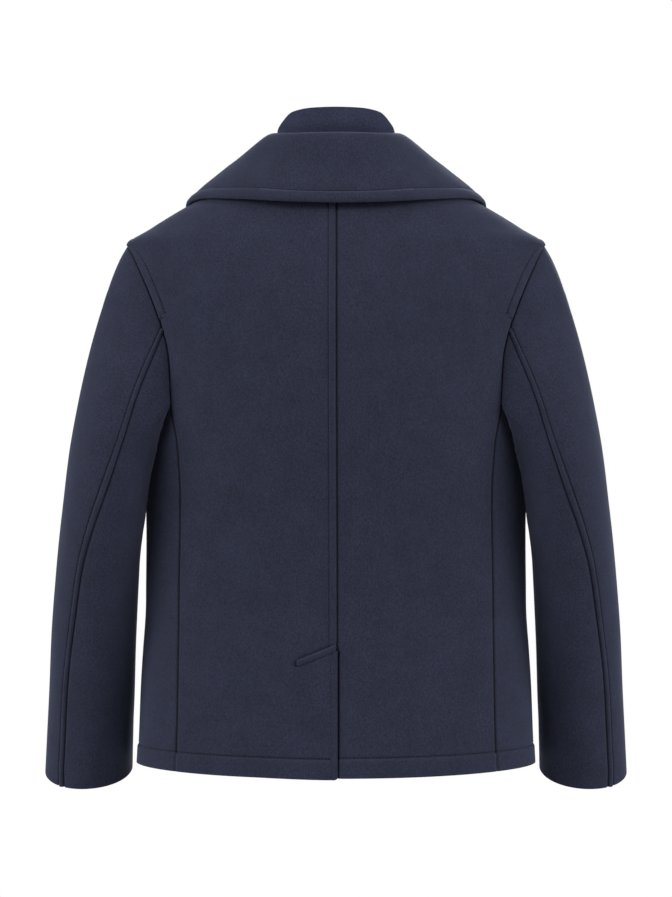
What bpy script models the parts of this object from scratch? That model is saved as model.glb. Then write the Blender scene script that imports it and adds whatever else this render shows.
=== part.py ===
"""Pea coat, filled out as if worn: hollow cloth walls, each cut or sewn-on piece its own closed solid.

Metres. +X is the wearer's right, +Y forward, +Z up. Zero is the centre of the neck opening, level with
the back neck seam. Most pieces are worked out for the wearer's right side and mirrored for the left.
"""

import math

import bmesh
import bpy
import numpy as np
from mathutils import Matrix, Vector

# Cloth.
CLOTH = 0.003
SEAM_GAP = 0.0003
SEAM_SINK = 0.0008
SEAM_ROUNDING = 0.003
STRIP_RISE = 0.0007
STRIP_WIDTH = 0.010

# Body.
SQUARENESS = 2.2
HEM = -0.689
HEM_STRIP = 0.022
HEM_LIFT = 0.005
HEM_LIFT_START = -0.600
ARMHOLE_TOP = -0.092
ARMHOLE_END = -0.270
UNDERARM_DROP = 0.030
UNDERARM_FADE = -0.390
SHORT_ROW = 0.080

# Vent in the centre back.
VENT_TOP = -0.549
VENT_OVERLAP = 0.0015
VENT_STEP = 0.0040
UNDERLAP = 0.040

# Double-breasted front: distances across the chest are from the centre, positive towards the piece's own side.
FRONT_EDGE = -0.090
BREAK_HEIGHT = -0.270
GORGE_ACROSS = 0.044
GORGE_HEIGHT = -0.045
LAP_RISE = 0.0044
LAPEL_UNDER_RISE = 0.0046
LAP_FULL = 0.095
LAP_START = 0.145

# Lapel: its notch and corner, as (across, height).
LAPEL_CORNER = (0.150, -0.118)
LAPEL_ROLL = 0.0023
LAPEL_ROLL_TOP = 0.0040
LAPEL_REST = 0.0028
LAPEL_LEAD = 0.0008
GORGE_GAP = 0.0020
LAPEL_BELLY = 0.018

# Buttons and pockets.
BUTTON_ACROSS = 0.075
BUTTON_HEIGHTS = (-0.310, -0.420, -0.530)
BUTTON_RADIUS = 0.015
BUTTON_STAND = 0.0015
WELT_LENGTH = 0.160
WELT_WIDTH = 0.028
WELT_THICK = 0.003
WELT_TOP = -0.400
WELT_ACROSS = 0.158
WELT_SLANT = 0.006
PATCH_GAP = 0.0010
BAR_THICK = 0.0012

# Corners of the bar above the vent on the left back, as (across, height), from its upper far end round.
BAR_CORNERS = ((0.0432, -0.5600), (0.0005, -0.5425), (0.0005, -0.5485), (0.0432, -0.5656))

WOOL = (0.027, 0.031, 0.053, 1.0)
BUTTON_COLOUR = (0.010, 0.011, 0.018, 1.0)


class Table:
    """A short table with named columns, read between its rows along a smooth curve without overshoot."""

    def __init__(self, columns, rows):
        self.columns = columns
        self.rows = np.array(sorted(rows), float)

    def read(self, column, at):
        x = self.rows[:, 0]
        y = self.rows[:, self.columns.index(column)]
        step = np.diff(x)
        slope = np.diff(y) / step
        tangent = np.zeros(len(x))
        same_way = slope[:-1] * slope[1:] > 0
        weight_a = 2 * step[1:] + step[:-1]
        weight_b = step[1:] + 2 * step[:-1]
        inner = (weight_a + weight_b)[same_way] / (
            weight_a[same_way] / slope[:-1][same_way] + weight_b[same_way] / slope[1:][same_way]
        )
        tangent[1:-1][same_way] = inner
        tangent[0] = slope[0]
        tangent[-1] = slope[-1]
        at = np.clip(np.asarray(at, float), x[0], x[-1])
        i = np.clip(np.searchsorted(x, at, side="right") - 1, 0, len(x) - 2)
        t = (at - x[i]) / step[i]
        return (
            (1 + 2 * t) * (1 - t) ** 2 * y[i]
            + t * (1 - t) ** 2 * step[i] * tangent[i]
            + t**2 * (3 - 2 * t) * y[i + 1]
            + t**2 * (t - 1) * step[i] * tangent[i + 1]
        )


# Horizontal sections of the body: half-width at the side, depth to the back and to the front.
TORSO = Table(
    ("height", "half_width", "back", "front"),
    [
        (0.000, 0.0800, 0.068, 0.050),
        (-0.024, 0.1270, 0.079, 0.064),
        (-0.050, 0.1755, 0.091, 0.078),
        (-0.0735, 0.2135, 0.100, 0.090),
        (-0.092, 0.2395, 0.107, 0.098),
        (-0.120, 0.2380, 0.115, 0.109),
        (-0.160, 0.2330, 0.122, 0.121),
        (-0.200, 0.2280, 0.125, 0.128),
        (-0.300, 0.2225, 0.125, 0.131),
        (-0.420, 0.2177, 0.119, 0.127),
        (-0.500, 0.2175, 0.118, 0.126),
        (-0.557, 0.2217, 0.121, 0.127),
        (-0.610, 0.2245, 0.124, 0.129),
        (-0.689, 0.2280, 0.129, 0.131),
    ],
)

# Where the back and front panels end on each side, as distances from the centre: at the armhole, and below it at
# the side-back seam and along the line under the front of the armhole.
EDGES = Table(
    ("height", "back", "front"),
    [
        (-0.092, 0.2395, 0.2395),
        (-0.102, 0.2330, 0.2310),
        (-0.120, 0.2242, 0.2190),
        (-0.142, 0.2140, 0.2070),
        (-0.168, 0.2035, 0.1960),
        (-0.195, 0.1945, 0.1880),
        (-0.220, 0.1890, 0.1840),
        (-0.245, 0.1872, 0.1835),
        (-0.270, 0.1865, 0.1850),
        (-0.320, 0.1782, 0.1850),
        (-0.380, 0.1744, 0.1830),
        (-0.450, 0.1752, 0.1820),
        (-0.600, 0.1775, 0.1860),
        (-0.689, 0.1797, 0.1890),
    ],
)

SHOULDER_ROWS = [0.0, -0.010, -0.022, -0.034, GORGE_HEIGHT, -0.057, -0.069, -0.081, ARMHOLE_TOP]
ARMHOLE_ROWS = [-0.102, -0.120, -0.142, -0.168, -0.195, -0.220, -0.245, ARMHOLE_END]
LOWER_ROWS = [ARMHOLE_END - SEAM_ROUNDING, -0.295, -0.330, UNDERARM_FADE, -0.445, -0.500, -0.5445, VENT_TOP]
LOWER_ROWS += [-0.600, -0.645, HEM + HEM_STRIP + 0.002, HEM + HEM_STRIP - 0.001, HEM]
ROWS = SHOULDER_ROWS + ARMHOLE_ROWS + LOWER_ROWS
UNDERARM_STEPS = [0.0, 0.16, 0.34, 0.52, 0.70, 0.86, 1.0]


def fade(start, end, at):
    """Rises smoothly from 0 at start to 1 at end."""
    t = np.clip((np.asarray(at, float) - start) / (end - start), 0, 1)
    return t * t * (3 - 2 * t)


def unit(vectors):
    return vectors / np.maximum(np.linalg.norm(vectors, axis=-1, keepdims=True), 1e-12)


# ---------------------------------------------------------------- the body's surface


def ring(turn, height):
    """Points on the body. turn is 0 at the centre back, a quarter at the side and a half at the centre front."""
    sine = np.sin(turn)
    cosine = np.cos(turn)
    depth = np.where(cosine > 0, TORSO.read("back", height), TORSO.read("front", height))
    x = TORSO.read("half_width", height) * np.sign(sine) * np.abs(sine) ** (2 / SQUARENESS)
    y = -depth * np.sign(cosine) * np.abs(cosine) ** (2 / SQUARENESS)
    return np.stack([x, y, np.broadcast_to(height, x.shape)], axis=-1)


def turn_at(across, height, front):
    """The turn where the body is this far from the centre, on its back or its front."""
    share = np.clip(np.abs(across) / TORSO.read("half_width", height), 0, 1)
    turn = np.arcsin(share ** (SQUARENESS / 2)) * np.where(np.asarray(across) < 0, -1, 1)
    return math.pi - turn if front else turn


def body_field(points):
    x, y, z = np.moveaxis(points, -1, 0)
    depth = np.where(y < 0, TORSO.read("back", z), TORSO.read("front", z))
    width = TORSO.read("half_width", z)
    return ((np.abs(x) / width) ** SQUARENESS + (np.abs(y) / depth) ** SQUARENESS) ** (1 / SQUARENESS) - 1


def body_distance(points):
    """How far points are outside the body's surface, and the direction away from it."""
    step = 0.0005
    slope = np.stack(
        [(body_field(points + step * axis) - body_field(points - step * axis)) / (2 * step) for axis in np.eye(3)],
        axis=-1,
    )
    size = np.linalg.norm(slope, axis=-1)
    return body_field(points) / size, slope / size[..., None]


def lifted(points, height):
    """Points of the body's surface, moved out along its normal."""
    return points + body_distance(points)[1] * np.asarray(height)[..., None]


def kept_clear(points, gap):
    """Points moved out until they are at least this far from the body."""
    for _ in range(6):
        distance, away = body_distance(points)
        points = points + away * np.maximum(np.asarray(gap) - distance, 0)[..., None]
    return points


def kept_forward(points, gap):
    """Points of the front moved straight forward until they are at least this far from the body."""
    for _ in range(8):
        distance, away = body_distance(points)
        forward = np.maximum(np.asarray(gap) - distance, 0) / np.maximum(away[..., 1], 0.2)
        points = points + forward[..., None] * np.array([0, 1, 0])
    return points


def hem_lift(turn, height):
    """How much higher the hem, and what is just above it, runs at the sides."""
    return HEM_LIFT * np.sin(turn) ** 2 * fade(HEM_LIFT_START, HEM, height)


def body_row(height, start, end, columns):
    """Points along the body at one height between two turns. A column is a share of the way and an offset."""
    turns = np.linspace(start, end, 120)
    dense = ring(turns, height)
    length = np.concatenate([[0], np.cumsum(np.linalg.norm(np.diff(dense, axis=0), axis=1))])
    short = min(1.0, length[-1] / SHORT_ROW)
    places = np.array([share * length[-1] + offset * short for share, offset in columns])
    found = np.interp(places, length, turns)
    return ring(found, height + hem_lift(found, height))


# ---------------------------------------------------------------- making objects


def collection(name, hidden=False):
    made = bpy.data.collections.new(name)
    bpy.context.scene.collection.children.link(made)
    made.hide_render = hidden
    return made


def material(name, colour, roughness, sheen=0.0):
    made = bpy.data.materials.new(name)
    made.use_nodes = True
    shader = made.node_tree.nodes["Principled BSDF"]
    shader.inputs["Base Color"].default_value = colour
    shader.inputs["Roughness"].default_value = roughness
    shader.inputs["Metallic"].default_value = 0.0
    shader.inputs["Sheen Weight"].default_value = sheen
    made.diffuse_color = colour
    return made


def cloth(name, grid, home, finish, offset=-1.0, flip=False, used=None, thickness=CLOTH):
    """A cloth wall: an open surface through a grid of points, made solid. used marks the cells that are kept."""
    rows, columns = grid.shape[:2]
    mesh = bmesh.new()
    corners = [[mesh.verts.new(grid[i, j]) for j in range(columns)] for i in range(rows)]
    for i in range(rows - 1):
        for j in range(columns - 1):
            if used is None or used[i, j]:
                around = [corners[i][j], corners[i + 1][j], corners[i + 1][j + 1], corners[i][j + 1]]
                mesh.faces.new(around[::-1] if flip else around)
    bmesh.ops.delete(mesh, geom=[v for v in mesh.verts if not v.link_faces], context="VERTS")
    bmesh.ops.remove_doubles(mesh, verts=mesh.verts, dist=1e-6)
    data = bpy.data.meshes.new(name)
    mesh.to_mesh(data)
    mesh.free()
    data.shade_smooth()
    data.materials.append(finish)
    made = bpy.data.objects.new(name, data)
    home.objects.link(made)
    wall = made.modifiers.new("Wall", "SOLIDIFY")
    wall.thickness = thickness
    wall.offset = offset
    wall.use_quality_normals = True
    return made


def mirrored(grid, side):
    return grid * np.array([side, 1, 1])


# ---------------------------------------------------------------- back


def back_grid(vent_side):
    """Right half of the back. vent_side is 1 for the half with the underlap and -1 for the half that lies over it."""
    seam = SEAM_GAP / 2
    columns = [(0, seam), (0, SEAM_ROUNDING), (0, 0.0075)]
    columns += [(share, 0) for share in (0.14, 0.27, 0.40, 0.53, 0.66, 0.79, 0.90)]
    columns += [(1, -STRIP_WIDTH), (1, -SEAM_ROUNDING), (1, -seam)]
    rows = []
    for height in ROWS:
        if height >= ARMHOLE_TOP:
            end = math.pi / 2
        else:
            end = turn_at(EDGES.read("back", height), height, front=False)
        row = body_row(height, 0.0, float(end), columns)
        rise = np.zeros(len(columns))
        rise[-1] = -SEAM_SINK
        if -0.180 < height < -0.055:
            rise[-2] = rise[-3] = STRIP_RISE
        if height > VENT_TOP:
            rise[0] = -SEAM_SINK
            if vent_side < 0:
                rise[1] = rise[2] = STRIP_RISE
        elif vent_side < 0:
            row[0, 0] = -VENT_OVERLAP
        if height < HEM + HEM_STRIP:
            rise[:-1] += STRIP_RISE
        rows.append(lifted(row, rise))
    return np.array(rows)


def right_back_grid():
    """The right back, with the vent's underlap stepped inwards and carried on past the centre."""
    grid = back_grid(1)
    vent = [i for i, height in enumerate(ROWS) if height <= VENT_TOP]
    extra = np.repeat(grid[:, :1], 3, axis=1)
    grid = np.concatenate([extra, grid], axis=1)
    used = np.ones((grid.shape[0] - 1, grid.shape[1] - 1), bool)
    used[: vent[0], :3] = False
    for i in vent:
        lap = [-UNDERLAP, -UNDERLAP / 2, -0.004, 0.0028, 0.0070]
        for j, across in enumerate(lap):
            point = ring(turn_at(across, ROWS[i], front=False), ROWS[i])
            grid[i, j] = lifted(point, -VENT_STEP if j < 4 else 0.0)
    return grid, used


def make_backs(home, finish):
    grid, used = right_back_grid()
    cloth("back_right", grid, home, finish, used=used)
    cloth("back_left", mirrored(back_grid(-1), -1), home, finish, flip=True)


# ---------------------------------------------------------------- front


def lap_rise(across, height):
    """How far the left front stands off the body, where it lies over the right front and the right lapel."""
    reach = 1 - fade(LAP_FULL, LAP_START, across)
    below_collar = 1 - fade(-0.122, -0.080, height)
    over_lapel = fade(-0.360, -0.262, height)
    return reach * below_collar * (LAP_RISE + LAPEL_UNDER_RISE * over_lapel)


def opening_at(height):
    """Where a front ends towards the centre: its edge, its lapel's roll line, then the neck seam."""
    if height <= BREAK_HEIGHT:
        return FRONT_EDGE
    if height <= GORGE_HEIGHT:
        share = (height - BREAK_HEIGHT) / (GORGE_HEIGHT - BREAK_HEIGHT)
        return FRONT_EDGE + share * (GORGE_ACROSS - FRONT_EDGE)
    share = (height - GORGE_HEIGHT) / -GORGE_HEIGHT
    side_neck = float(TORSO.read("half_width", 0.0))
    return GORGE_ACROSS + (side_neck - GORGE_ACROSS) * share


def underarm_drop(share, height):
    """How far a row of the front dips below its own height under the armhole."""
    return UNDERARM_DROP * math.sin(math.pi * share) * float(fade(UNDERARM_FADE, ARMHOLE_END, height))


def front_grid(overlies):
    """Right front with the side of the body. Rows above the armhole's end have no cells under the arm."""
    seam = SEAM_GAP / 2
    under = [(0, seam), (0, SEAM_ROUNDING)] + [(share, 0) for share in UNDERARM_STEPS[1:-1]]
    chest = [(0, 0), (0, SEAM_ROUNDING), (0, STRIP_WIDTH)]
    chest += [(share, 0) for share in (0.17, 0.28, 0.39, 0.50, 0.61, 0.72, 0.83, 0.92)] + [(1, 0)]
    rows = []
    for height in ROWS:
        at_arm = ARMHOLE_TOP >= height
        arm = float(turn_at(EDGES.read("front", height), height, front=True)) if at_arm else math.pi / 2
        end = float(turn_at(opening_at(height), height, front=True))
        row = body_row(height, arm, end, chest)
        armhole = height >= ARMHOLE_END
        if armhole:
            row[0] = body_row(height, arm, end, [(0, seam)])[0]
        rise = lap_rise(row[:, 0], height) if overlies else np.zeros(len(row))
        rise[0] = -SEAM_SINK if armhole else rise[0]
        if -0.180 < height < -0.055:
            rise[1] = rise[2] = STRIP_RISE
        if armhole:
            side = np.repeat(row[:1], len(under), axis=0)
            side_rise = np.zeros(len(under))
        if height <= ARMHOLE_END:
            begin = float(turn_at(EDGES.read("back", height), height, front=False))
            side = body_row(height, begin, arm, under)
            turns = np.linspace(begin, arm, 200)
            shares = np.interp(side[:, 1], ring(turns, np.full(200, height))[:, 1], np.linspace(0, 1, 200))
            drops = np.array([underarm_drop(share, height) for share in shares])
            angle = begin + (arm - begin) * shares
            side = ring(angle, height - drops + hem_lift(angle, height))
            side_rise = np.zeros(len(under))
            side_rise[0] = -SEAM_SINK
            if height == ARMHOLE_END:
                side_rise[:] = -SEAM_SINK
        if height < HEM + HEM_STRIP:
            rise = rise + STRIP_RISE
            side_rise[1:] += STRIP_RISE
        if height == 0.0:
            row = np.repeat(row[-1:], len(row), axis=0)
            side = np.repeat(row[:1], len(side), axis=0)
            rise = rise * 0.0
        rows.append(lifted(np.concatenate([side, row]), np.concatenate([side_rise, rise])))
    grid = np.array(rows)
    used = np.ones((grid.shape[0] - 1, grid.shape[1] - 1), bool)
    used[: ROWS.index(ARMHOLE_END), : len(under)] = False
    return grid, used


def make_fronts(home, finish):
    grid, used = front_grid(overlies=False)
    cloth("front_right", grid, home, finish, used=used)
    grid, used = front_grid(overlies=True)
    cloth("front_left", mirrored(grid, -1), home, finish, used=used, flip=True)


# ---------------------------------------------------------------- lapels


def chest_point(across, height, rise):
    """A point on the chest, this far off the body's surface."""
    across = np.asarray(across, float)
    height = np.asarray(height, float)
    point = ring(turn_at(across, height, front=True), height)
    return lifted(point, rise)


def lapel_grid(overlies):
    """Right lapel, from the roll line round a soft fold and back over the chest. Its rows close up at the break."""
    gorge = np.array([GORGE_ACROSS, GORGE_HEIGHT])
    low = np.array([FRONT_EDGE, BREAK_HEIGHT])
    along = unit(low - gorge)
    top = gorge + along * GORGE_GAP
    inward = np.array([along[1], -along[0]])
    corner = np.array(LAPEL_CORNER)
    rows = []
    heights = [top[1]] + [height for height in ROWS if BREAK_HEIGHT < height < top[1]]
    for height in heights:
        share = (top[1] - height) / (top[1] - low[1])
        fold = top + (low - top) * share
        edge = corner + (low - corner) * share
        edge = edge - inward * LAPEL_BELLY * math.sin(math.pi * share) * (1 - share)
        radius = LAPEL_ROLL + (LAPEL_ROLL_TOP - LAPEL_ROLL) * float(1 - fade(0.0, 0.30, share))
        flat = []
        rise = []
        start = -CLOTH / 2
        flat.append(fold + inward * SEAM_GAP)
        rise.append(start)
        for turn in np.radians([0, 45, 90, 135, 180]):
            flat.append(fold + inward * (SEAM_GAP + LAPEL_LEAD + radius * math.sin(turn)))
            rise.append(start + radius * (1 - math.cos(turn)))
        roll_top = rise[-1]
        for reach in (0.10, 0.22, 0.36, 0.50, 0.63, 0.76, 0.88, 1.0):
            flat.append(fold + (edge - fold) * reach)
            rise.append(LAPEL_REST + (roll_top - LAPEL_REST) * (1 - reach) ** 2)
        flat = np.array(flat)
        rise = np.array(rise)
        if overlies:
            rise = rise + lap_rise(flat[:, 0], flat[:, 1])
        rows.append(chest_point(flat[:, 0], flat[:, 1], rise))
    return np.array(rows)


def make_lapels(home, finish):
    cloth("lapel_right", lapel_grid(overlies=False), home, finish, offset=0.0)
    left = mirrored(lapel_grid(overlies=True), -1)
    cloth("lapel_left", left, home, finish, offset=0.0, flip=True)


# ---------------------------------------------------------------- collar


# Sections of the collar, from the centre back round the side of the neck to the gorge: the foot on the neck seam,
# the height of the stand and how far it leans out, the middle of the fall, its edge, and how far the roll's curve
# reaches.
COLLAR = Table(
    (
        "round", "foot_turn", "foot_height", "stand", "lean",
        "mid_x", "mid_y", "mid_z", "edge_x", "edge_y", "edge_z", "inner_reach", "outer_reach",
    ),
    [
        (0.00, 0.0, 0.000, 0.0280, 0.0110, 0.000, -0.0935, -0.0140, 0.0000, -0.105, -0.0510, 0.008, 0.010),
        (0.18, 24.5, 0.000, 0.0285, 0.0075, 0.042, -0.0880, -0.0130, 0.0560, -0.100, -0.0494, 0.008, 0.010),
        (0.36, 49.0, 0.000, 0.0310, 0.0000, 0.085, -0.0660, -0.0110, 0.1100, -0.079, -0.0448, 0.008, 0.011),
        (0.54, 74.0, 0.000, 0.0340, -0.0060, 0.113, -0.0300, -0.0030, 0.1590, -0.036, -0.0398, 0.008, 0.012),
        (0.66, 90.0, 0.000, 0.0350, -0.0085, 0.122, 0.0020, -0.0005, 0.1735, 0.002, -0.0420, 0.008, 0.012),
        (0.78, 90.0, -0.008, 0.0270, -0.0060, 0.122, 0.0380, -0.0140, 0.1740, 0.034, -0.0540, 0.007, 0.011),
        (0.89, 90.0, -0.025, 0.0150, -0.0010, 0.116, 0.0620, -0.0440, 0.1660, 0.060, -0.0690, 0.005, 0.008),
        (1.00, 90.0, -0.045, 0.0040, 0.0040, 0.106, 0.0740, -0.0865, 0.1560, 0.072, -0.0790, 0.002, 0.003),
    ],
)
COLLAR_ROUNDS = (0.0, 0.09, 0.18, 0.27, 0.36, 0.45, 0.54, 0.60, 0.66, 0.72, 0.78, 0.84, 0.89, 0.93, 0.965, 1.0)
COLLAR_SIDE = 0.66
COLLAR_ON_CHEST = 0.80

# Directions at the roll: across its top, away from the neck, and up from the neck seam.
ROLL = Table(
    ("round", "out_x", "out_y", "out_z", "up_x", "up_y", "up_z"),
    [
        (0.00, 0.00, -1.00, 0.00, 0.00, 0.00, 1.00),
        (0.36, 0.70, -0.70, 0.00, 0.00, 0.00, 1.00),
        (0.66, 1.00, 0.00, 0.00, 0.00, 0.00, 1.00),
        (0.85, 0.75, 0.60, 0.25, -0.45, 0.10, 0.90),
        (1.00, 0.30, 0.88, 0.36, -0.80, 0.10, 0.55),
    ],
)


def bezier(ends, steps):
    """Points of a cubic curve through its four control points."""
    t = np.asarray(steps)[:, None]
    a, b, c, d = ends
    return (1 - t) ** 3 * a + 3 * (1 - t) ** 2 * t * b + 3 * (1 - t) * t**2 * c + t**3 * d


def read_point(table, name, at):
    return np.array([float(table.read(f"{name}_{axis}", at)) for axis in "xyz"])


def collar_section(at):
    """Middle of the collar's cloth at one place round the neck, from its foot over the roll to its edge."""
    height = float(COLLAR.read("foot_height", at))
    if at < COLLAR_SIDE:
        seam = ring(math.radians(float(COLLAR.read("foot_turn", at))), height)
    else:
        seam = ring(turn_at(opening_at(height), height, front=True), height)
    foot = lifted(seam, -CLOTH / 2)
    middle = read_point(COLLAR, "mid", at)
    edge = read_point(COLLAR, "edge", at)
    out = unit(read_point(ROLL, "out", at))
    up = unit(read_point(ROLL, "up", at))
    stand = float(COLLAR.read("stand", at))
    foot = foot + up * 3 * SEAM_GAP
    roll = foot + up * stand + out * float(COLLAR.read("lean", at))
    inner = (foot, foot + up * stand * 0.5, roll - out * float(COLLAR.read("inner_reach", at)), roll)
    fall = middle - roll
    outer = (roll, roll + out * float(COLLAR.read("outer_reach", at)), middle - fall * 0.40, middle)
    leaf = bezier(outer, (0.12, 0.25, 0.40, 0.58, 0.78, 1.0))
    free = [middle + (edge - middle) * share for share in (0.25, 0.5, 0.75, 1.0)]
    inside = bezier(inner, (0.0, 0.35, 0.65, 0.85, 1.0))
    outside = np.concatenate([leaf, free])
    if at > COLLAR_ON_CHEST:
        outside = kept_forward(outside, LAPEL_REST)
    return np.concatenate([inside, outside])


def make_collar(home, finish):
    half = [collar_section(at) for at in COLLAR_ROUNDS]
    other = [section * np.array([-1, 1, 1]) for section in half[:0:-1]]
    grid = np.array(other + half)
    grid = np.swapaxes(grid, 0, 1)[::-1]
    cloth("collar", grid, home, finish, offset=0.0, flip=True)


# Standing band inside the collar: its top against the angle from the centre back, and its outer face's half-width
# and depth against height. It leans out over the collar's roll.
BAND_TOP = Table(
    ("angle", "top"),
    [
        (0, 0.0590),
        (24, 0.0586),
        (38, 0.0570),
        (45, 0.0555),
        (50, 0.0530),
        (60, 0.0462),
        (73, 0.0392),
        (80, 0.0365),
        (90, 0.0280),
    ],
)
BAND_FACE = Table(
    ("height", "half_width", "depth"),
    [
        (0.0010, 0.0742, 0.0630),
        (0.0200, 0.0618, 0.0650),
        (0.0300, 0.0612, 0.0690),
        (0.0365, 0.0660, 0.0718),
        (0.0420, 0.0695, 0.0730),
        (0.0590, 0.0710, 0.0735),
    ],
)
BAND_ANGLES = (0, 12, 24, 34, 42, 48, 54, 60, 66, 73, 80, 88)


def band_section(angle):
    """The band's outer face at one angle from the centre back, from its foot to its top."""
    turn = math.radians(angle)
    foot = BAND_FACE.rows[0, 0]
    heights = foot + (float(BAND_TOP.read("top", angle)) - foot) * np.linspace(0, 1, 7)
    x = BAND_FACE.read("half_width", heights) * math.sin(turn)
    y = -BAND_FACE.read("depth", heights) * math.cos(turn)
    return np.stack([x, y, heights], axis=-1)


def make_band(home, finish):
    half = [band_section(angle) for angle in BAND_ANGLES]
    other = [section * np.array([-1, 1, 1]) for section in half[:0:-1]]
    grid = np.swapaxes(np.array(other + half), 0, 1)[::-1]
    cloth("collar_stand", grid, home, finish)


# ---------------------------------------------------------------- sleeves


# Sections of the right sleeve, from the armhole to the cuff: where it reaches at the outside and inside of the arm,
# its middle from back to front, half its depth, and how far its back drops, in degrees.
SLEEVE = Table(
    ("along", "out_x", "out_z", "in_x", "in_z", "middle_y", "half_depth", "tilt"),
    [
        (0.000, 0.2400, -0.0925, 0.2200, -0.3000, 0.002, 0.0800, 0),
        (0.040, 0.2545, -0.1220, 0.2130, -0.3090, -0.002, 0.0815, 0),
        (0.100, 0.2690, -0.1670, 0.2090, -0.3210, -0.009, 0.0830, 0),
        (0.180, 0.2830, -0.2200, 0.2085, -0.3380, -0.018, 0.0830, 1),
        (0.270, 0.2945, -0.2770, 0.2110, -0.3600, -0.025, 0.0815, 2),
        (0.360, 0.3040, -0.3300, 0.2160, -0.3880, -0.026, 0.0785, 3),
        (0.470, 0.3125, -0.3950, 0.2215, -0.4280, -0.021, 0.0745, 5),
        (0.590, 0.3205, -0.4650, 0.2262, -0.4820, -0.011, 0.0695, 8),
        (0.710, 0.3268, -0.5350, 0.2298, -0.5430, 0.002, 0.0640, 11),
        (0.830, 0.3316, -0.6050, 0.2330, -0.6070, 0.017, 0.0590, 15),
        (0.935, 0.3355, -0.6650, 0.2354, -0.6640, 0.030, 0.0545, 18),
        (1.000, 0.3380, -0.6990, 0.2366, -0.6960, 0.037, 0.0520, 20),
    ],
)
SLEEVE_ROWS = (0.0, 0.026, 0.06, 0.10, 0.15, 0.20, 0.25, 0.31, 0.38, 0.45, 0.52, 0.60, 0.69, 0.78, 0.87, 0.94, 1.0)

# Line of the sleeve's back seam, seen from behind. It starts at the armhole.
SLEEVE_SEAM = Table(
    ("height", "across"),
    [
        (-0.195, 0.1945),
        (-0.271, 0.2239),
        (-0.315, 0.2368),
        (-0.377, 0.2574),
        (-0.412, 0.2702),
        (-0.458, 0.2836),
        (-0.515, 0.2935),
        (-0.586, 0.3038),
        (-0.692, 0.3126),
    ],
)
# How far the sleeve hangs over towards the body behind its inner side, against the place along it, and the turn
# round it where it does so most.
SLEEVE_HANG = Table(
    ("along", "across"),
    [
        (0.00, 0.0000),
        (0.02, 0.0000),
        (0.06, 0.0050),
        (0.10, 0.0100),
        (0.15, 0.0105),
        (0.20, 0.0075),
        (0.26, 0.0035),
        (0.33, 0.0020),
        (0.40, 0.0010),
        (0.48, 0.0000),
        (1.00, 0.0000),
    ],
)
HANG_TURN = 150.0
HANG_WIDTH = 34.0
FRONT_SEAM = 206.0
SLEEVE_GAP = 0.0014
BACK_SEAM_HEIGHT = -0.195
SEAM_TURN = 3.0
STRIP_TURN = 8.0


def armhole_loop():
    """The armhole, from the shoulder point down the back, under the arm and up the front."""
    back = [ring(turn_at(EDGES.read("back", z), z, front=False), z) for z in ARMHOLE_ROWS]
    grid, _ = front_grid(overlies=False)
    count = len(UNDERARM_STEPS)
    under = list(grid[ROWS.index(ARMHOLE_END), 2:count])
    front = [ring(turn_at(EDGES.read("front", z), z, front=True), z) for z in ARMHOLE_ROWS[::-1]]
    shoulder = ring(np.array(math.pi / 2), ARMHOLE_TOP)
    return np.array([shoulder] + back + under + front)


def sleeve_frame(along):
    """Middle of one section of the sleeve, and its axes: outwards, backwards and down the arm."""
    out_x, out_z, in_x, in_z, middle_y, depth, tilt = (
        float(SLEEVE.read(name, along)) for name in SLEEVE.columns[1:]
    )
    outwards = np.array([out_x - in_x, 0, out_z - in_z])
    middle = np.array([(out_x + in_x) / 2, middle_y, (out_z + in_z) / 2])
    half_width = float(np.linalg.norm(outwards)) / 2
    outwards = unit(outwards)
    drop = math.radians(tilt)
    backwards = np.array([0, -math.cos(drop), -math.sin(drop)])
    return middle, outwards, backwards, np.cross(outwards, backwards), half_width, depth


def sleeve_points(along, turns, loop_turns, loop):
    """Points of one section of the sleeve: the armhole's own shape at its start, and an oval further down."""
    start_middle, *start_axes, start_width, start_depth = sleeve_frame(0.0)
    middle, *axes, half_width, depth = sleeve_frame(along)
    at_loop = np.stack([np.interp(turns % 360, loop_turns, loop[:, k]) for k in range(3)], axis=-1)
    from_armhole = (at_loop - start_middle) @ np.array(start_axes).T
    oval_share = float(fade(0.0, 0.30, along))
    from_armhole = from_armhole * np.array([half_width / start_width, depth / start_depth, 1 - oval_share])
    angle = np.radians(turns)
    oval = np.stack([half_width * np.cos(angle), depth * np.sin(angle), 0 * angle], axis=-1)
    shape = from_armhole * (1 - oval_share) + oval * oval_share
    points = middle + shape @ np.array(axes)
    behind = np.exp(-(((turns % 360 - HANG_TURN) / HANG_WIDTH) ** 2))
    points[:, 0] -= SLEEVE_HANG.read("across", along) * behind
    if along > 0.0:
        points = kept_clear(points, np.full(len(turns), SLEEVE_GAP + 0.0018 * float(fade(0.0, 0.06, along))))
    return points


def seam_turn(along, loop_turns, loop):
    """Where round one section the back seam lies."""
    turns = np.linspace(40, 130, 91)
    points = sleeve_points(along, turns, loop_turns, loop)
    off_line = points[:, 0] - SLEEVE_SEAM.read("across", points[:, 2])
    return float(np.interp(0.0, -off_line, turns))


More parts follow.
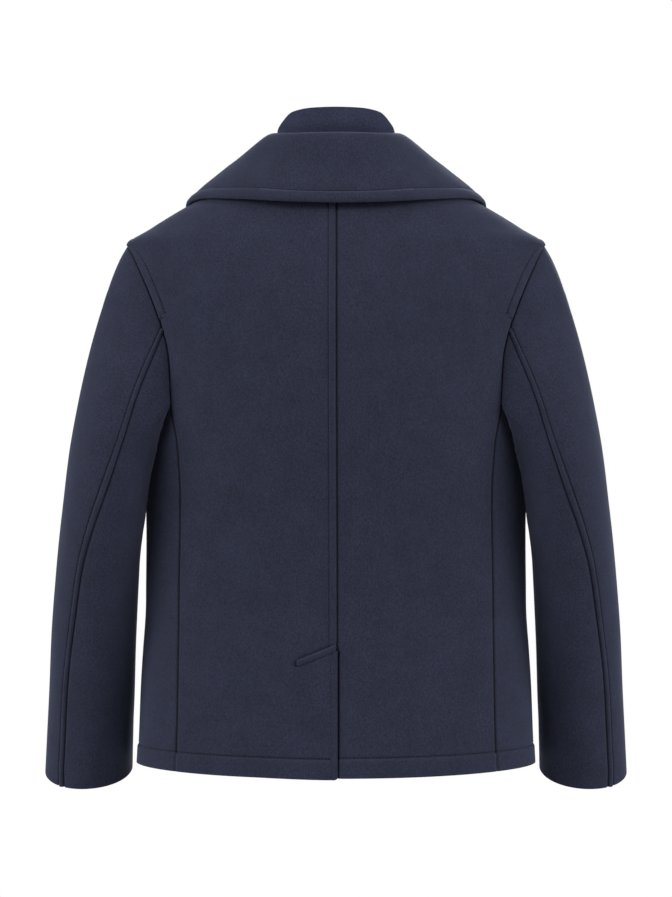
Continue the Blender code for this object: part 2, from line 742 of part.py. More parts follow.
def sleeve_grid(first, last):
    """Right sleeve between two of its seams. Its columns start at the armhole's own points."""
    loop = armhole_loop()
    loop = np.concatenate([loop, loop[:1]])
    length = np.concatenate([[0], np.cumsum(np.linalg.norm(np.diff(loop, axis=0), axis=1))])
    loop_turns = length / length[-1] * 360
    back_start = float(loop_turns[1 + ARMHOLE_ROWS.index(BACK_SEAM_HEIGHT)])
    front_start = float(loop_turns[np.argmin(np.abs(loop_turns - FRONT_SEAM))])
    named = {"front_before": front_start - 360, "back": back_start, "front": front_start}
    begin, end = named[first], named[last]
    turns = [t for t in np.concatenate([loop_turns[:-1] - 360, loop_turns]) if begin + 4.5 < t < end - 4.5]
    turns += [begin, begin + SEAM_TURN, end - SEAM_TURN, end]
    rise = {0: -SEAM_SINK, -1: -SEAM_SINK}
    if last == "back":
        turns = [t for t in turns if not end - STRIP_TURN - 3 < t < end - SEAM_TURN] + [end - STRIP_TURN]
        rise.update({-2: STRIP_RISE, -3: STRIP_RISE})
    turns = np.array(sorted(turns))
    rows = []
    for along in SLEEVE_ROWS:
        back_now = seam_turn(along, loop_turns, loop) if along else back_start
        knots = [front_start - 360, 0, back_start - 12, back_start, back_start + 6, front_start]
        goals = [front_start - 360, 0, back_now - 12, back_now, back_now + 6, front_start]
        row = sleeve_points(along, np.interp(turns, knots, goals), loop_turns, loop)
        tangent = unit(np.gradient(row, axis=0))
        down = sleeve_frame(along)[3]
        away = unit(np.cross(tangent, down))
        height = np.zeros(len(turns))
        for column, amount in rise.items():
            height[column] = amount
        if along == 0.0:
            height[:] = -SEAM_SINK
        row = row + away * height[:, None]
        row[0] += tangent[0] * SEAM_GAP / 2
        row[-1] -= tangent[-1] * SEAM_GAP / 2
        rows.append(row)
    grid = np.array(rows)
    grid[0] += unit(grid[1] - grid[0]) * SEAM_GAP
    return grid


def make_sleeves(home, finish):
    for name, first, last in (("top", "front_before", "back"), ("under", "back", "front")):
        grid = sleeve_grid(first, last)
        cloth(f"sleeve_{name}_right", grid, home, finish, flip=True)
        cloth(f"sleeve_{name}_left", mirrored(grid, -1), home, finish)


# ---------------------------------------------------------------- small pieces


def panel_patch(corners, rise, across_steps, down_steps, overlies, front=True):
    """A grid over a four-cornered patch of a panel, this far off it. Corners are (across, height), top to bottom."""
    a, b, c, d = (np.array(corner) for corner in corners)
    rows = []
    for v in np.linspace(0, 1, down_steps + 1):
        start = a + (d - a) * v
        stop = b + (c - b) * v
        flat = np.array([start + (stop - start) * u for u in np.linspace(0, 1, across_steps + 1)])
        turn = turn_at(flat[:, 0], flat[:, 1], front=front)
        lap = lap_rise(flat[:, 0], flat[:, 1]) if overlies else 0.0
        rows.append(lifted(ring(turn, flat[:, 1]), rise + lap + np.zeros(len(flat))))
    return np.array(rows)


def make_welts(home, finish):
    low = WELT_TOP - WELT_LENGTH
    low_across = WELT_ACROSS - WELT_SLANT
    corners = (
        (WELT_ACROSS, WELT_TOP),
        (WELT_ACROSS - WELT_WIDTH, WELT_TOP),
        (low_across - WELT_WIDTH, low),
        (low_across, low),
    )
    right = panel_patch(corners, PATCH_GAP, 3, 8, overlies=False)
    left = mirrored(panel_patch(corners, PATCH_GAP, 3, 8, overlies=True), -1)
    cloth("pocket_welt_right", right, home, finish, offset=1.0, thickness=WELT_THICK)
    cloth("pocket_welt_left", left, home, finish, offset=1.0, thickness=WELT_THICK, flip=True)


def make_vent_bar(home, finish):
    rise = STRIP_RISE + SEAM_GAP
    grid = mirrored(panel_patch(BAR_CORNERS, rise, 6, 1, overlies=False, front=False), -1)
    cloth("vent_bar", grid, home, finish, offset=1.0, thickness=BAR_THICK)


def button_mesh(finish):
    """A turned button with a raised rim and four sewing holes, lying flat with its back at zero."""
    profile = [(0, 0), (0.0115, 0), (0.0145, 0.0010), (BUTTON_RADIUS, 0.0024), (0.0140, 0.0040), (0.0118, 0.0040)]
    profile += [(0.0100, 0.0028), (0, 0.0026)]
    data = bpy.data.meshes.new("button_profile")
    data.from_pydata([(r, 0, z) for r, z in profile], [(i, i + 1) for i in range(len(profile) - 1)], [])
    data.materials.append(finish)
    return data


def button_cutter(home):
    """Four round pins for the sewing holes."""
    mesh = bmesh.new()
    for across in (-0.0022, 0.0022):
        for up in (-0.0022, 0.0022):
            pin = bmesh.ops.create_cone(
                mesh, cap_ends=True, segments=6, radius1=0.0010, radius2=0.0010, depth=0.010
            )
            bmesh.ops.translate(mesh, verts=pin["verts"], vec=(across, up, 0.002))
    data = bpy.data.meshes.new("button_pins")
    mesh.to_mesh(data)
    mesh.free()
    made = bpy.data.objects.new("button_pins", data)
    made.display_type = "WIRE"
    home.objects.link(made)
    return made


def make_buttons(home, cutters, finish):
    data = button_mesh(finish)
    for row, height in enumerate(BUTTON_HEIGHTS, start=1):
        for side, across in (("left", BUTTON_ACROSS), ("right", -BUTTON_ACROSS)):
            rise = float(lap_rise(across, height)) + BUTTON_STAND
            point = mirrored(chest_point(across, height, rise), -1)
            away = Vector(mirrored(body_distance(chest_point(across, height, 0.0))[1], -1))
            made = bpy.data.objects.new(f"button_{row}_{side}", data)
            home.objects.link(made)
            turn = Vector((0, 0, 1)).rotation_difference(away).to_matrix().to_4x4()
            made.matrix_world = Matrix.Translation(Vector(point)) @ turn
            screw = made.modifiers.new("Turned", "SCREW")
            screw.steps = screw.render_steps = 16
            screw.use_merge_vertices = True
            screw.merge_threshold = 1e-5
            screw.use_normal_calculate = True
            pins = button_cutter(cutters)
            pins.matrix_world = made.matrix_world
            holes = made.modifiers.new("Holes", "BOOLEAN")
            holes.operation = "DIFFERENCE"
            holes.solver = "EXACT"
            holes.object = pins


def main():
    for old in list(bpy.data.objects):
        bpy.data.objects.remove(old, do_unlink=True)
    coat = collection("pea_coat")
    cutters = collection("cutters", hidden=True)
    body = material("wool_body", WOOL, 0.92, 0.25)
    sleeves = material("wool_sleeves", WOOL, 0.92, 0.25)
    collar = material("wool_collar", WOOL, 0.92, 0.25)
    horn = material("button_resin", BUTTON_COLOUR, 0.35)
    make_backs(coat, body)
    make_fronts(coat, body)
    make_lapels(coat, collar)
    make_collar(coat, collar)
    make_band(coat, collar)
    make_sleeves(coat, sleeves)
    make_welts(coat, body)
    make_vent_bar(coat, body)
    make_buttons(coat, cutters, horn)


main()
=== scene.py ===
"""Looks of the pea coat: every cloth piece again as a fine shell on its solid's form, with its seams, raised
strips, stitching and soft folds, in brushed navy wool; buttons of satin resin sewn on with thread.

Metres. +X is the wearer's right, +Y forward, +Z up. The forms come from the same sections as the solids.
"""

import math

import bmesh
import bpy
import numpy as np
from mathutils import Matrix, Vector


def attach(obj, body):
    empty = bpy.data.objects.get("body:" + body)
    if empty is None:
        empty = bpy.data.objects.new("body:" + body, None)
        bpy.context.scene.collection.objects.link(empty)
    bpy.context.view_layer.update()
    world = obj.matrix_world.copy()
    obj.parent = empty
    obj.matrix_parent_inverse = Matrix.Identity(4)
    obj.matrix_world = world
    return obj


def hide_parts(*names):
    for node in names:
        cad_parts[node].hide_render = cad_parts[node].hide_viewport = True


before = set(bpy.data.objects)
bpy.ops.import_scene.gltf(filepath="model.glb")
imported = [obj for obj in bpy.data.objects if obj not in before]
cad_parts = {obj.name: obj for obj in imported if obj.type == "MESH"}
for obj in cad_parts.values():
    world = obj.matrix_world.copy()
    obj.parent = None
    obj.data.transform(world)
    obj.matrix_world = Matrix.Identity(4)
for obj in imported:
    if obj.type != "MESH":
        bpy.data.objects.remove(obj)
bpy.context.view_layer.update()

# The two sides of the coat: the factor that mirrors X, and the name.
SIDES = ((1, "right"), (-1, "left"))

# Cloth.
CLOTH = 0.003
SEAM_GAP = 0.0003
SEAM_LAP = 0.0006
SEAM_SINK = 0.0015
SEAM_SOFT = 0.0016
STRIP_RISE = 0.0012
STRIP_WIDTH = 0.010
CENTRE_STRIP = 0.0080
CENTRE_PULL = 0.55
SLEEVE_STRIP = 0.0072
STITCH_SINK = 0.0011
STITCH_SOFT = 0.0010
GRID_STEP = 0.0045

# Body.
SQUARENESS = 2.2
HEM = -0.689
HEM_STRIP = 0.022
HEM_LIFT = 0.005
HEM_LIFT_START = -0.600
ARMHOLE_TOP = -0.092
ARMHOLE_END = -0.270
UNDERARM_DROP = 0.030
UNDERARM_FADE = -0.390
SHORT_ROW = 0.080

# Vent in the centre back.
VENT_TOP = -0.549
VENT_OVERLAP = 0.0017
VENT_STEP = 0.0040
UNDERLAP = 0.040
VENT_DROP = 0.0016
VENT_CORNER = 0.0032
SEAM_LEAN = 0.0010

# Double-breasted front.
FRONT_EDGE = -0.090
BREAK_HEIGHT = -0.270
GORGE_ACROSS = 0.044
GORGE_HEIGHT = -0.045
LAP_RISE = 0.0044
LAPEL_UNDER_RISE = 0.0046
LAP_FULL = 0.095
LAP_START = 0.145

# Lapel.
LAPEL_CORNER = (0.150, -0.118)
LAPEL_ROLL = 0.0023
LAPEL_ROLL_TOP = 0.0040
LAPEL_REST = 0.0028
LAPEL_LEAD = 0.0008
GORGE_GAP = 0.0020
LAPEL_BELLY = 0.018
LAPEL_STITCH = 0.0100

# Buttons and pockets.
BUTTON_ACROSS = 0.075
BUTTON_HEIGHTS = (-0.310, -0.420, -0.530)
BUTTON_STAND = 0.0015
WELT_LENGTH = 0.160
WELT_WIDTH = 0.028
WELT_THICK = 0.003
WELT_TOP = -0.400
WELT_ACROSS = 0.158
WELT_SLANT = 0.006
PATCH_GAP = 0.0010
BAR_THICK = 0.0012
BAR_PUFF = 0.0013
BAR_TUCK = 0.0008
BAR_SINK = 1.15
BAR_RIDGE = 0.0009
BAR_CORNERS = ((0.0432, -0.5600), (0.0005, -0.5425), (0.0005, -0.5485), (0.0432, -0.5656))

# Thread.
STITCH_LENGTH = 0.0031
STITCH_SPACE = 0.0010
THREAD_RADIUS = 0.00030


class Table:
    """A short table with named columns, read between its rows along a smooth curve without overshoot."""

    def __init__(self, columns, rows):
        self.columns = columns
        self.rows = np.array(sorted(rows), float)

    def read(self, column, at):
        x = self.rows[:, 0]
        y = self.rows[:, self.columns.index(column)]
        step = np.diff(x)
        slope = np.diff(y) / step
        tangent = np.zeros(len(x))
        same_way = slope[:-1] * slope[1:] > 0
        weight_a = 2 * step[1:] + step[:-1]
        weight_b = step[1:] + 2 * step[:-1]
        inner = (weight_a + weight_b)[same_way] / (
            weight_a[same_way] / slope[:-1][same_way] + weight_b[same_way] / slope[1:][same_way]
        )
        tangent[1:-1][same_way] = inner
        tangent[0] = slope[0]
        tangent[-1] = slope[-1]
        at = np.clip(np.asarray(at, float), x[0], x[-1])
        i = np.clip(np.searchsorted(x, at, side="right") - 1, 0, len(x) - 2)
        t = (at - x[i]) / step[i]
        return (
            (1 + 2 * t) * (1 - t) ** 2 * y[i]
            + t * (1 - t) ** 2 * step[i] * tangent[i]
            + t**2 * (3 - 2 * t) * y[i + 1]
            + t**2 * (t - 1) * step[i] * tangent[i + 1]
        )


TORSO = Table(
    ("height", "half_width", "back", "front"),
    [
        (0.000, 0.0800, 0.068, 0.050),
        (-0.024, 0.1270, 0.079, 0.064),
        (-0.050, 0.1755, 0.091, 0.078),
        (-0.0735, 0.2135, 0.100, 0.090),
        (-0.092, 0.2395, 0.107, 0.098),
        (-0.120, 0.2380, 0.115, 0.109),
        (-0.160, 0.2330, 0.122, 0.121),
        (-0.200, 0.2280, 0.125, 0.128),
        (-0.300, 0.2225, 0.125, 0.131),
        (-0.420, 0.2177, 0.119, 0.127),
        (-0.500, 0.2182, 0.118, 0.126),
        (-0.557, 0.2217, 0.121, 0.127),
        (-0.610, 0.2245, 0.124, 0.129),
        (-0.689, 0.2280, 0.129, 0.131),
    ],
)
EDGES = Table(
    ("height", "back", "front"),
    [
        (-0.092, 0.2395, 0.2395),
        (-0.102, 0.2330, 0.2310),
        (-0.120, 0.2242, 0.2190),
        (-0.142, 0.2140, 0.2070),
        (-0.168, 0.2035, 0.1960),
        (-0.195, 0.1945, 0.1880),
        (-0.220, 0.1890, 0.1840),
        (-0.245, 0.1872, 0.1835),
        (-0.270, 0.1865, 0.1850),
        (-0.320, 0.1782, 0.1850),
        (-0.380, 0.1744, 0.1830),
        (-0.450, 0.1752, 0.1820),
        (-0.600, 0.1775, 0.1860),
        (-0.689, 0.1797, 0.1890),
    ],
)


def finer(values, step, also=()):
    """The same run of values with more between, no further apart than step, and a few more given ones."""
    values = sorted(set(values) | set(also), reverse=bool(values[0] > values[-1]))
    out = [values[0]]
    for a, b in zip(values[:-1], values[1:]):
        count = max(1, math.ceil(abs(b - a) / step))
        out += [a + (b - a) * (k + 1) / count for k in range(count)]
    return [round(value, 6) for value in out]


# Where rows and columns of a grid lie close together: beside a seam, either side of stitches, and by heights.
NEAR_SEAM = [0.0, 0.0007, 0.0014, 0.0022, 0.0032, 0.0044, 0.0058]
NEAR_STITCH = [-0.0022, -0.0013, -0.0006, 0.0, 0.0006, 0.0013, 0.0022]
HEM_LINE = HEM + HEM_STRIP
HEM_ROWS = [HEM_LINE + off for off in (-0.006, -0.0035, -0.0018, -0.0009, 0.0, 0.0009, 0.0018, 0.0035)]
HEM_ROWS += [HEM + 0.0022, HEM + 0.001]
TIP_ROWS = [ARMHOLE_TOP + 0.0012 * k for k in range(1, 9)]
SHOULDER_ROWS = finer([0.0, GORGE_HEIGHT, ARMHOLE_TOP], GRID_STEP, TIP_ROWS)
STRIP_ENDS = -0.182
ARMHOLE_STITCHES = (STRIP_ENDS + 0.008, -0.094)
END_ROWS = [STRIP_ENDS + 0.001 * k for k in range(-3, 13)]
ARMHOLE_ROWS = finer([ARMHOLE_TOP, ARMHOLE_END], GRID_STEP, END_ROWS)[1:]
UNDER_ROWS = [ARMHOLE_END - off for off in (0.0008, 0.0018, 0.003)]
BAR_TOP = BAR_CORNERS[1][1]
BAR_WIDE = BAR_TOP - BAR_CORNERS[2][1]
BAR_ROWS = [BAR_TOP - side + off for side in (0.0, BAR_WIDE) for off in NEAR_STITCH[:-1]]
LOWER_ROWS = finer([ARMHOLE_END, VENT_TOP, HEM], GRID_STEP, HEM_ROWS + UNDER_ROWS + BAR_ROWS)[1:]
ROWS = SHOULDER_ROWS + ARMHOLE_ROWS + LOWER_ROWS


def fade(start, end, at):
    """Rises smoothly from 0 at start to 1 at end."""
    t = np.clip((np.asarray(at, float) - start) / (end - start), 0, 1)
    return t * t * (3 - 2 * t)


def unit(vectors):
    """The same directions, each of length 1."""
    return vectors / np.maximum(np.linalg.norm(vectors, axis=-1, keepdims=True), 1e-12)


# ---- the body's surface


def ring(turn, height):
    """Points on the body. turn is 0 at the centre back, a quarter at the side, half at the centre front."""
    sine = np.sin(turn)
    cosine = np.cos(turn)
    depth = np.where(cosine > 0, TORSO.read("back", height), TORSO.read("front", height))
    x = TORSO.read("half_width", height) * np.sign(sine) * np.abs(sine) ** (2 / SQUARENESS)
    y = -depth * np.sign(cosine) * np.abs(cosine) ** (2 / SQUARENESS)
    return np.stack([x, y, np.broadcast_to(height, x.shape)], axis=-1)


def turn_at(across, height, front):
    """The turn where the body is this far from the centre, on its back or its front."""
    share = np.clip(np.abs(across) / TORSO.read("half_width", height), 0, 1)
    turn = np.arcsin(share ** (SQUARENESS / 2)) * np.where(np.asarray(across) < 0, -1, 1)
    return math.pi - turn if front else turn


def edge_turn(edge, height):
    """The turn where the back's or the front's edge lies at one height."""
    return float(turn_at(EDGES.read(edge, height), height, front=edge == "front"))


def body_field(points):
    """Below 0 inside the body, 0 on its surface and above 0 outside."""
    x, y, z = np.moveaxis(points, -1, 0)
    depth = np.where(y < 0, TORSO.read("back", z), TORSO.read("front", z))
    width = TORSO.read("half_width", z)
    return ((np.abs(x) / width) ** SQUARENESS + (np.abs(y) / depth) ** SQUARENESS) ** (1 / SQUARENESS) - 1


def body_distance(points):
    """How far points are outside the body's surface, and the direction away from it."""
    step = 0.0005
    ahead = np.stack([body_field(points + step * axis) for axis in np.eye(3)], axis=-1)
    behind = np.stack([body_field(points - step * axis) for axis in np.eye(3)], axis=-1)
    slope = (ahead - behind) / (2 * step)
    size = np.linalg.norm(slope, axis=-1)
    return body_field(points) / size, slope / size[..., None]


def lifted(points, height):
    """Points of the body's surface, moved out along its normal."""
    return points + body_distance(points)[1] * np.asarray(height)[..., None]


def kept_clear(points, gap):
    """Points moved out until they are at least this far from the body."""
    for _ in range(6):
        distance, away = body_distance(points)
        points = points + away * np.maximum(np.asarray(gap) - distance, 0)[..., None]
    return points


def kept_forward(points, gap):
    """Points of the front moved straight forward until they are at least this far from the body."""
    for _ in range(8):
        distance, away = body_distance(points)
        forward = np.maximum(np.asarray(gap) - distance, 0) / np.maximum(away[..., 1], 0.2)
        points = points + forward[..., None] * np.array([0, 1, 0])
    return points


def hem_lift(turn, height):
    """How much higher the hem, and what is just above it, runs at the sides."""
    return HEM_LIFT * np.sin(turn) ** 2 * fade(HEM_LIFT_START, HEM, height)


def along_line(points):
    """Length along a line of points, up to each of them."""
    return np.concatenate([[0], np.cumsum(np.linalg.norm(np.diff(points, axis=0), axis=1))])


def places_of(columns, length):
    """Where columns lie along a line: some at set distances from either end, and a count evenly between."""
    first, count, last = columns
    short = min(1.0, length / SHORT_ROW)
    first = np.array(first) * short
    last = length - np.array(last) * short
    between = np.linspace(first[-1], last[0], count + 2)[1:-1]
    return np.concatenate([first, between, last])


def tucked(row, lap):
    """A row of points whose first one reaches under the next piece at a closed seam."""
    row[0] -= unit(row[1] - row[0]) * lap
    return row


def body_row(height, start, end, columns, lap=SEAM_LAP):
    """Points along the body at one height between two turns, and how far along each one lies."""
    turns = np.linspace(start, end, 160)
    length = along_line(ring(turns, height))
    places = places_of(columns, length[-1])
    found = np.interp(places, length, turns)
    return tucked(ring(found, height + hem_lift(found, height)), lap), places, length[-1]


# ---- relief


def seam(distance):
    """The dip beside a seam."""
    return -SEAM_SINK * np.exp(-((distance / SEAM_SOFT) ** 2))


def stitched(distance):
    """The dip that a row of stitches pulls."""
    return -STITCH_SINK * np.exp(-((distance / STITCH_SOFT) ** 2))


def strip(distance, width, pull=1.0):
    """A padded strip from a seam or edge to its row of stitches."""
    middle = np.clip(np.abs(2 * np.asarray(distance) / width - 1), 0, 1)
    return STRIP_RISE * (1 - middle**4) + pull * stitched(distance - width)


# Soft folds of the body: lines from one place to another, as distance from the centre and height. The same
# folds run through every layer that lies on that place. Ridges are above 0 and troughs below.
FOLDS = Table(
    ("across", "height", "to_across", "to_height", "front", "width", "rise"),
    [
        (0.168, -0.262, 0.120, -0.380, 0, 0.020, 0.0012),
        (0.150, -0.275, 0.088, -0.420, 0, 0.018, -0.0008),
        (0.185, -0.330, 0.170, -0.560, 0, 0.022, 0.0009),
        (0.040, -0.150, 0.055, -0.330, 0, 0.034, 0.0009),
        (0.100, -0.120, 0.110, -0.240, 0, 0.030, -0.0010),
        (0.060, -0.560, 0.075, -0.660, 0, 0.026, 0.0010),
        (0.120, -0.500, 0.128, -0.660, 0, 0.024, -0.0009),
        (0.030, -0.380, 0.140, -0.425, 0, 0.014, -0.0006),
        (0.035, -0.410, 0.150, -0.452, 0, 0.014, 0.0006),
        (0.165, -0.245, 0.120, -0.330, 1, 0.018, 0.0014),
        (0.150, -0.225, 0.100, -0.300, 1, 0.016, -0.0010),
        (0.176, -0.330, 0.168, -0.540, 1, 0.020, 0.0010),
        (0.100, -0.440, 0.092, -0.620, 1, 0.024, 0.0012),
        (0.040, -0.470, 0.030, -0.640, 1, 0.026, -0.0010),
        (0.060, -0.335, 0.020, -0.395, 1, 0.018, -0.0008),
        (0.205, -0.360, 0.207, -0.600, 1, 0.018, 0.0010),
    ],
)


def beside(places, way):
    """How far along a line places lie, from 0 to 1, and how far off it. Places are counted from its start."""
    share = np.clip(places @ way / (way @ way), 0, 1)
    return share, np.linalg.norm(places - share[..., None] * way, axis=-1)


def fold_rise(points):
    """How far the soft folds move points of the body in or out."""
    x, y, z = np.moveaxis(points, -1, 0)
    total = np.zeros(x.shape)
    for across, height, to_across, to_height, front, width, rise in FOLDS.rows:
        start = np.array([across, height])
        way = np.array([to_across, to_height]) - start
        share, off = beside(np.stack([np.abs(x), z], axis=-1) - start, way)
        uneven = 1 + 0.25 * np.sin(37 * x + 23 * z + 5 * across)
        facing = fade(-0.03, 0.03, y if front else -y)
        middle = 0.35 + 0.65 * np.sin(math.pi * share) ** 0.7
        total += rise * middle * uneven * facing * np.exp(-((off / width) ** 2))
    slow = np.sin(31 * x + 17 * z + 0.7) * np.sin(26 * z - 19 * x) + 0.6 * np.sin(58 * z + 13 * x + 1.9)
    return total + 0.00022 * slow


# ---- making pieces


def object_of(name, mesh, finish=None, smooth=True):
    """An object made from an edited mesh."""
    data = bpy.data.meshes.new(name)
    mesh.to_mesh(data)
    mesh.free()
    if smooth:
        data.shade_smooth()
    if finish:
        data.materials.append(finish)
    made = bpy.data.objects.new(name, data)
    bpy.context.scene.collection.objects.link(made)
    return made


def mesh_piece(name, grid, finish, relief, flip=False, used=None):
    """An open surface through a grid of points. It keeps how deep each lies in a seam or under stitches,
    which darkens the wool's colour there as painted shade.
    """
    rows, columns = grid.shape[:2]
    mesh = bmesh.new()
    # Painted shade: how deep each point lies in a seam or under stitches, kept on the point to darken the
    # cloth's colour there.
    deep = mesh.verts.layers.float.new("painted_groove_shade")
    corners = [[mesh.verts.new(grid[i, j]) for j in range(columns)] for i in range(rows)]
    if relief is not None:
        depth = np.clip(-relief / STITCH_SINK, 0, 1)
        for i in range(rows):
            for j in range(columns):
                corners[i][j][deep] = depth[i, j]
    for i in range(rows - 1):
        for j in range(columns - 1):
            if used is None or used[i, j]:
                around = [corners[i][j], corners[i + 1][j], corners[i + 1][j + 1], corners[i][j + 1]]
                mesh.faces.new(around[::-1] if flip else around)
    bmesh.ops.delete(mesh, geom=[v for v in mesh.verts if not v.link_faces], context="VERTS")
    bmesh.ops.remove_doubles(mesh, verts=mesh.verts, dist=2e-5)
    bmesh.ops.dissolve_degenerate(mesh, edges=mesh.edges, dist=1e-6)
    return object_of(name, mesh, finish)


def cloth(
    name,
    grid,
    finish,
    relief=None,
    offset=-1.0,
    flip=False,
    used=None,
    thickness=CLOTH,
    round_edge=0.0010,
):
    """A cloth piece: a fine open surface made solid, with soft edges. It stands for the solid of its name."""
    made = mesh_piece(f"{name}_cloth", grid, finish, relief, flip, used)
    wall = made.modifiers.new("Wall", "SOLIDIFY")
    wall.thickness = thickness
    wall.offset = offset
    wall.use_quality_normals = True
    edge = made.modifiers.new("Soft edge", "BEVEL")
    edge.limit_method = "ANGLE"
    edge.angle_limit = math.radians(50)
    edge.width = round_edge
    edge.segments = 2
    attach(made, "root")
    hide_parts(name)
    return made


def mirrored(grid, side):
    """Points or directions as they are for side 1, and mirrored in X for side -1."""
    return grid * np.array([side, 1, 1])


def both_halves(half):
    """A grid from sections of the right half, each from foot to edge. Its rows start at the edge."""
    other = [mirrored(section, -1) for section in half[:0:-1]]
    return np.swapaxes(np.array(other + half), 0, 1)[::-1]


def outward(grid, flip=False):
    """Normals of a grid's points, to the side that flip chooses."""
    normal = unit(np.cross(np.gradient(grid, axis=0), np.gradient(grid, axis=1)))
    return -normal if flip else normal


def evenly(line, normals, start, spacing):
    """Places, directions and normals at even steps along a line."""
    length = along_line(line)
    at = np.arange(start, length[-1] - start, spacing)

    def read(values, at):
        return np.stack([np.interp(at, length, values[:, k]) for k in range(3)], axis=-1)

    return read(line, at), unit(read(line, at + 0.0005) - read(line, at - 0.0005)), unit(read(normals, at))


def circle(mesh, middle, side, up, radius, sides):
    """A round of new points about a middle."""
    turns = [2 * math.pi * k / sides for k in range(sides)]
    return [mesh.verts.new(middle + (side * math.cos(a) + up * math.sin(a)) * radius) for a in turns]


def skin(mesh, rings):
    """Faces between rounds of the same number of points, and over both ends."""
    sides = len(rings[0])
    for a, b in zip(rings[:-1], rings[1:]):
        for k in range(sides):
            mesh.faces.new((a[k], a[(k + 1) % sides], b[(k + 1) % sides], b[k]))
    mesh.faces.new(rings[0][::-1])
    mesh.faces.new(rings[-1])


# One stitch: places along it, the thread's size there and its height off the cloth, as shares.
STITCH_FORM = ((-0.5, 0.35, -0.9), (-0.36, 0.9, 0.15), (0.0, 1.0, 0.55), (0.36, 0.9, 0.15), (0.5, 0.35, -0.9))


def stitch_row(mesh, line, normals, length=STITCH_LENGTH, space=STITCH_SPACE, radius=THREAD_RADIUS):
    """Adds one row of stitches: short rounded threads, each dipping into the cloth at both ends."""
    for place, way, up in zip(*evenly(line, normals, 0.002, length + space)):
        side = np.cross(way, up)
        rings = []
        for at, size, rise in STITCH_FORM:
            middle = place + way * at * length + up * rise * radius
            rings.append(circle(mesh, middle, side, up, radius * size, 6))
        skin(mesh, rings)


def thread_piece(name, rows, **sizes):
    """All the stitches of one cloth piece. rows holds pairs of a line and its normals."""
    mesh = bmesh.new()
    for line, normals in rows:
        stitch_row(mesh, line, normals, **sizes)
    bmesh.ops.recalc_face_normals(mesh, faces=mesh.faces)
    made = object_of(name, mesh, THREAD)
    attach(made, "root")
    return made


def stitches(name, rows, side=1):
    """The stitches of one cloth piece on one side of the coat."""
    rows = [(mirrored(line, side), mirrored(normals, side)) for line, normals in rows]
    return thread_piece(f"{name}_stitches", rows)


def column_line(grid, normals, column, first=0, last=None):
    """Part of one column of a grid, with its normals."""
    return grid[first:last, column], normals[first:last, column]


def row_line(grid, normals, row, first=0, last=None):
    """Part of one row of a grid, with its normals."""
    return grid[row, first:last], normals[row, first:last]


def near(values, value):
    """Which of some values is the nearest to a given one."""
    return int(np.argmin(np.abs(np.asarray(values) - value)))


# ---- materials


class Nodes:
    """Short ways to add nodes to one material."""

    def __init__(self, name, **values):
        self.material = bpy.data.materials.new(name)
        self.material.use_nodes = True
        self.tree = self.material.node_tree
        self.shader = self.tree.nodes["Principled BSDF"]
        for key, value in values.items():
            self.shader.inputs[key.replace("_", " ")].default_value = value

    def add(self, kind, **values):
        node = self.tree.nodes.new(kind)
        for key, value in values.items():
            if hasattr(node, key):
                setattr(node, key, value)
            else:
                node.inputs[key.replace("_", " ")].default_value = value
        return node

    def link(self, a, b):
        self.tree.links.new(a, b)

    def noise(self, scale, detail=2.0, rough=0.5, stretch=(1, 1, 1)):
        place = self.add("ShaderNodeTexCoord").outputs["Object"]
        mapping = self.add("ShaderNodeMapping")
        mapping.inputs["Scale"].default_value = stretch
        self.link(place, mapping.inputs["Vector"])
        node = self.add("ShaderNodeTexNoise", Scale=scale, Detail=detail, Roughness=rough)
        self.link(mapping.outputs["Vector"], node.inputs["Vector"])
        return node.outputs["Fac"]

    def spread(self, value, low, high, to_low, to_high):
        node = self.add("ShaderNodeMapRange", From_Min=low, From_Max=high, To_Min=to_low, To_Max=to_high)
        self.link(value, node.inputs["Value"])
        return node.outputs["Result"]

    def maths(self, way, a, b):
        node = self.add("ShaderNodeMath", operation=way)
        for socket, value in zip(node.inputs, (a, b)):
            if isinstance(value, (int, float)):
                socket.default_value = value
            else:
                self.link(value, socket)
        return node.outputs[0]

    def times(self, *values):
        total = values[0]
        for value in values[1:]:
            total = self.maths("MULTIPLY", total, value)
        return total

    def tint(self, colour, light):
        """One colour, made lighter and darker by a value."""
        mix = self.add("ShaderNodeMix", data_type="RGBA", blend_type="MULTIPLY")
        mix.inputs["Factor"].default_value = 1.0
        mix.inputs[6].default_value = colour
        self.link(light, mix.inputs[7])
        self.link(mix.outputs[2], self.shader.inputs["Base Color"])
        self.material.diffuse_color = colour

    def roughen(self, value):
        self.link(value, self.shader.inputs["Roughness"])

    def bump(self, height, strength, distance):
        node = self.add("ShaderNodeBump", Strength=strength, Distance=distance)
        self.link(height, node.inputs["Height"])
        self.link(node.outputs["Normal"], self.shader.inputs["Normal"])


# How dark the painted shade in seams and under stitches makes the wool's colour.
GROOVE_SHADE = 0.30


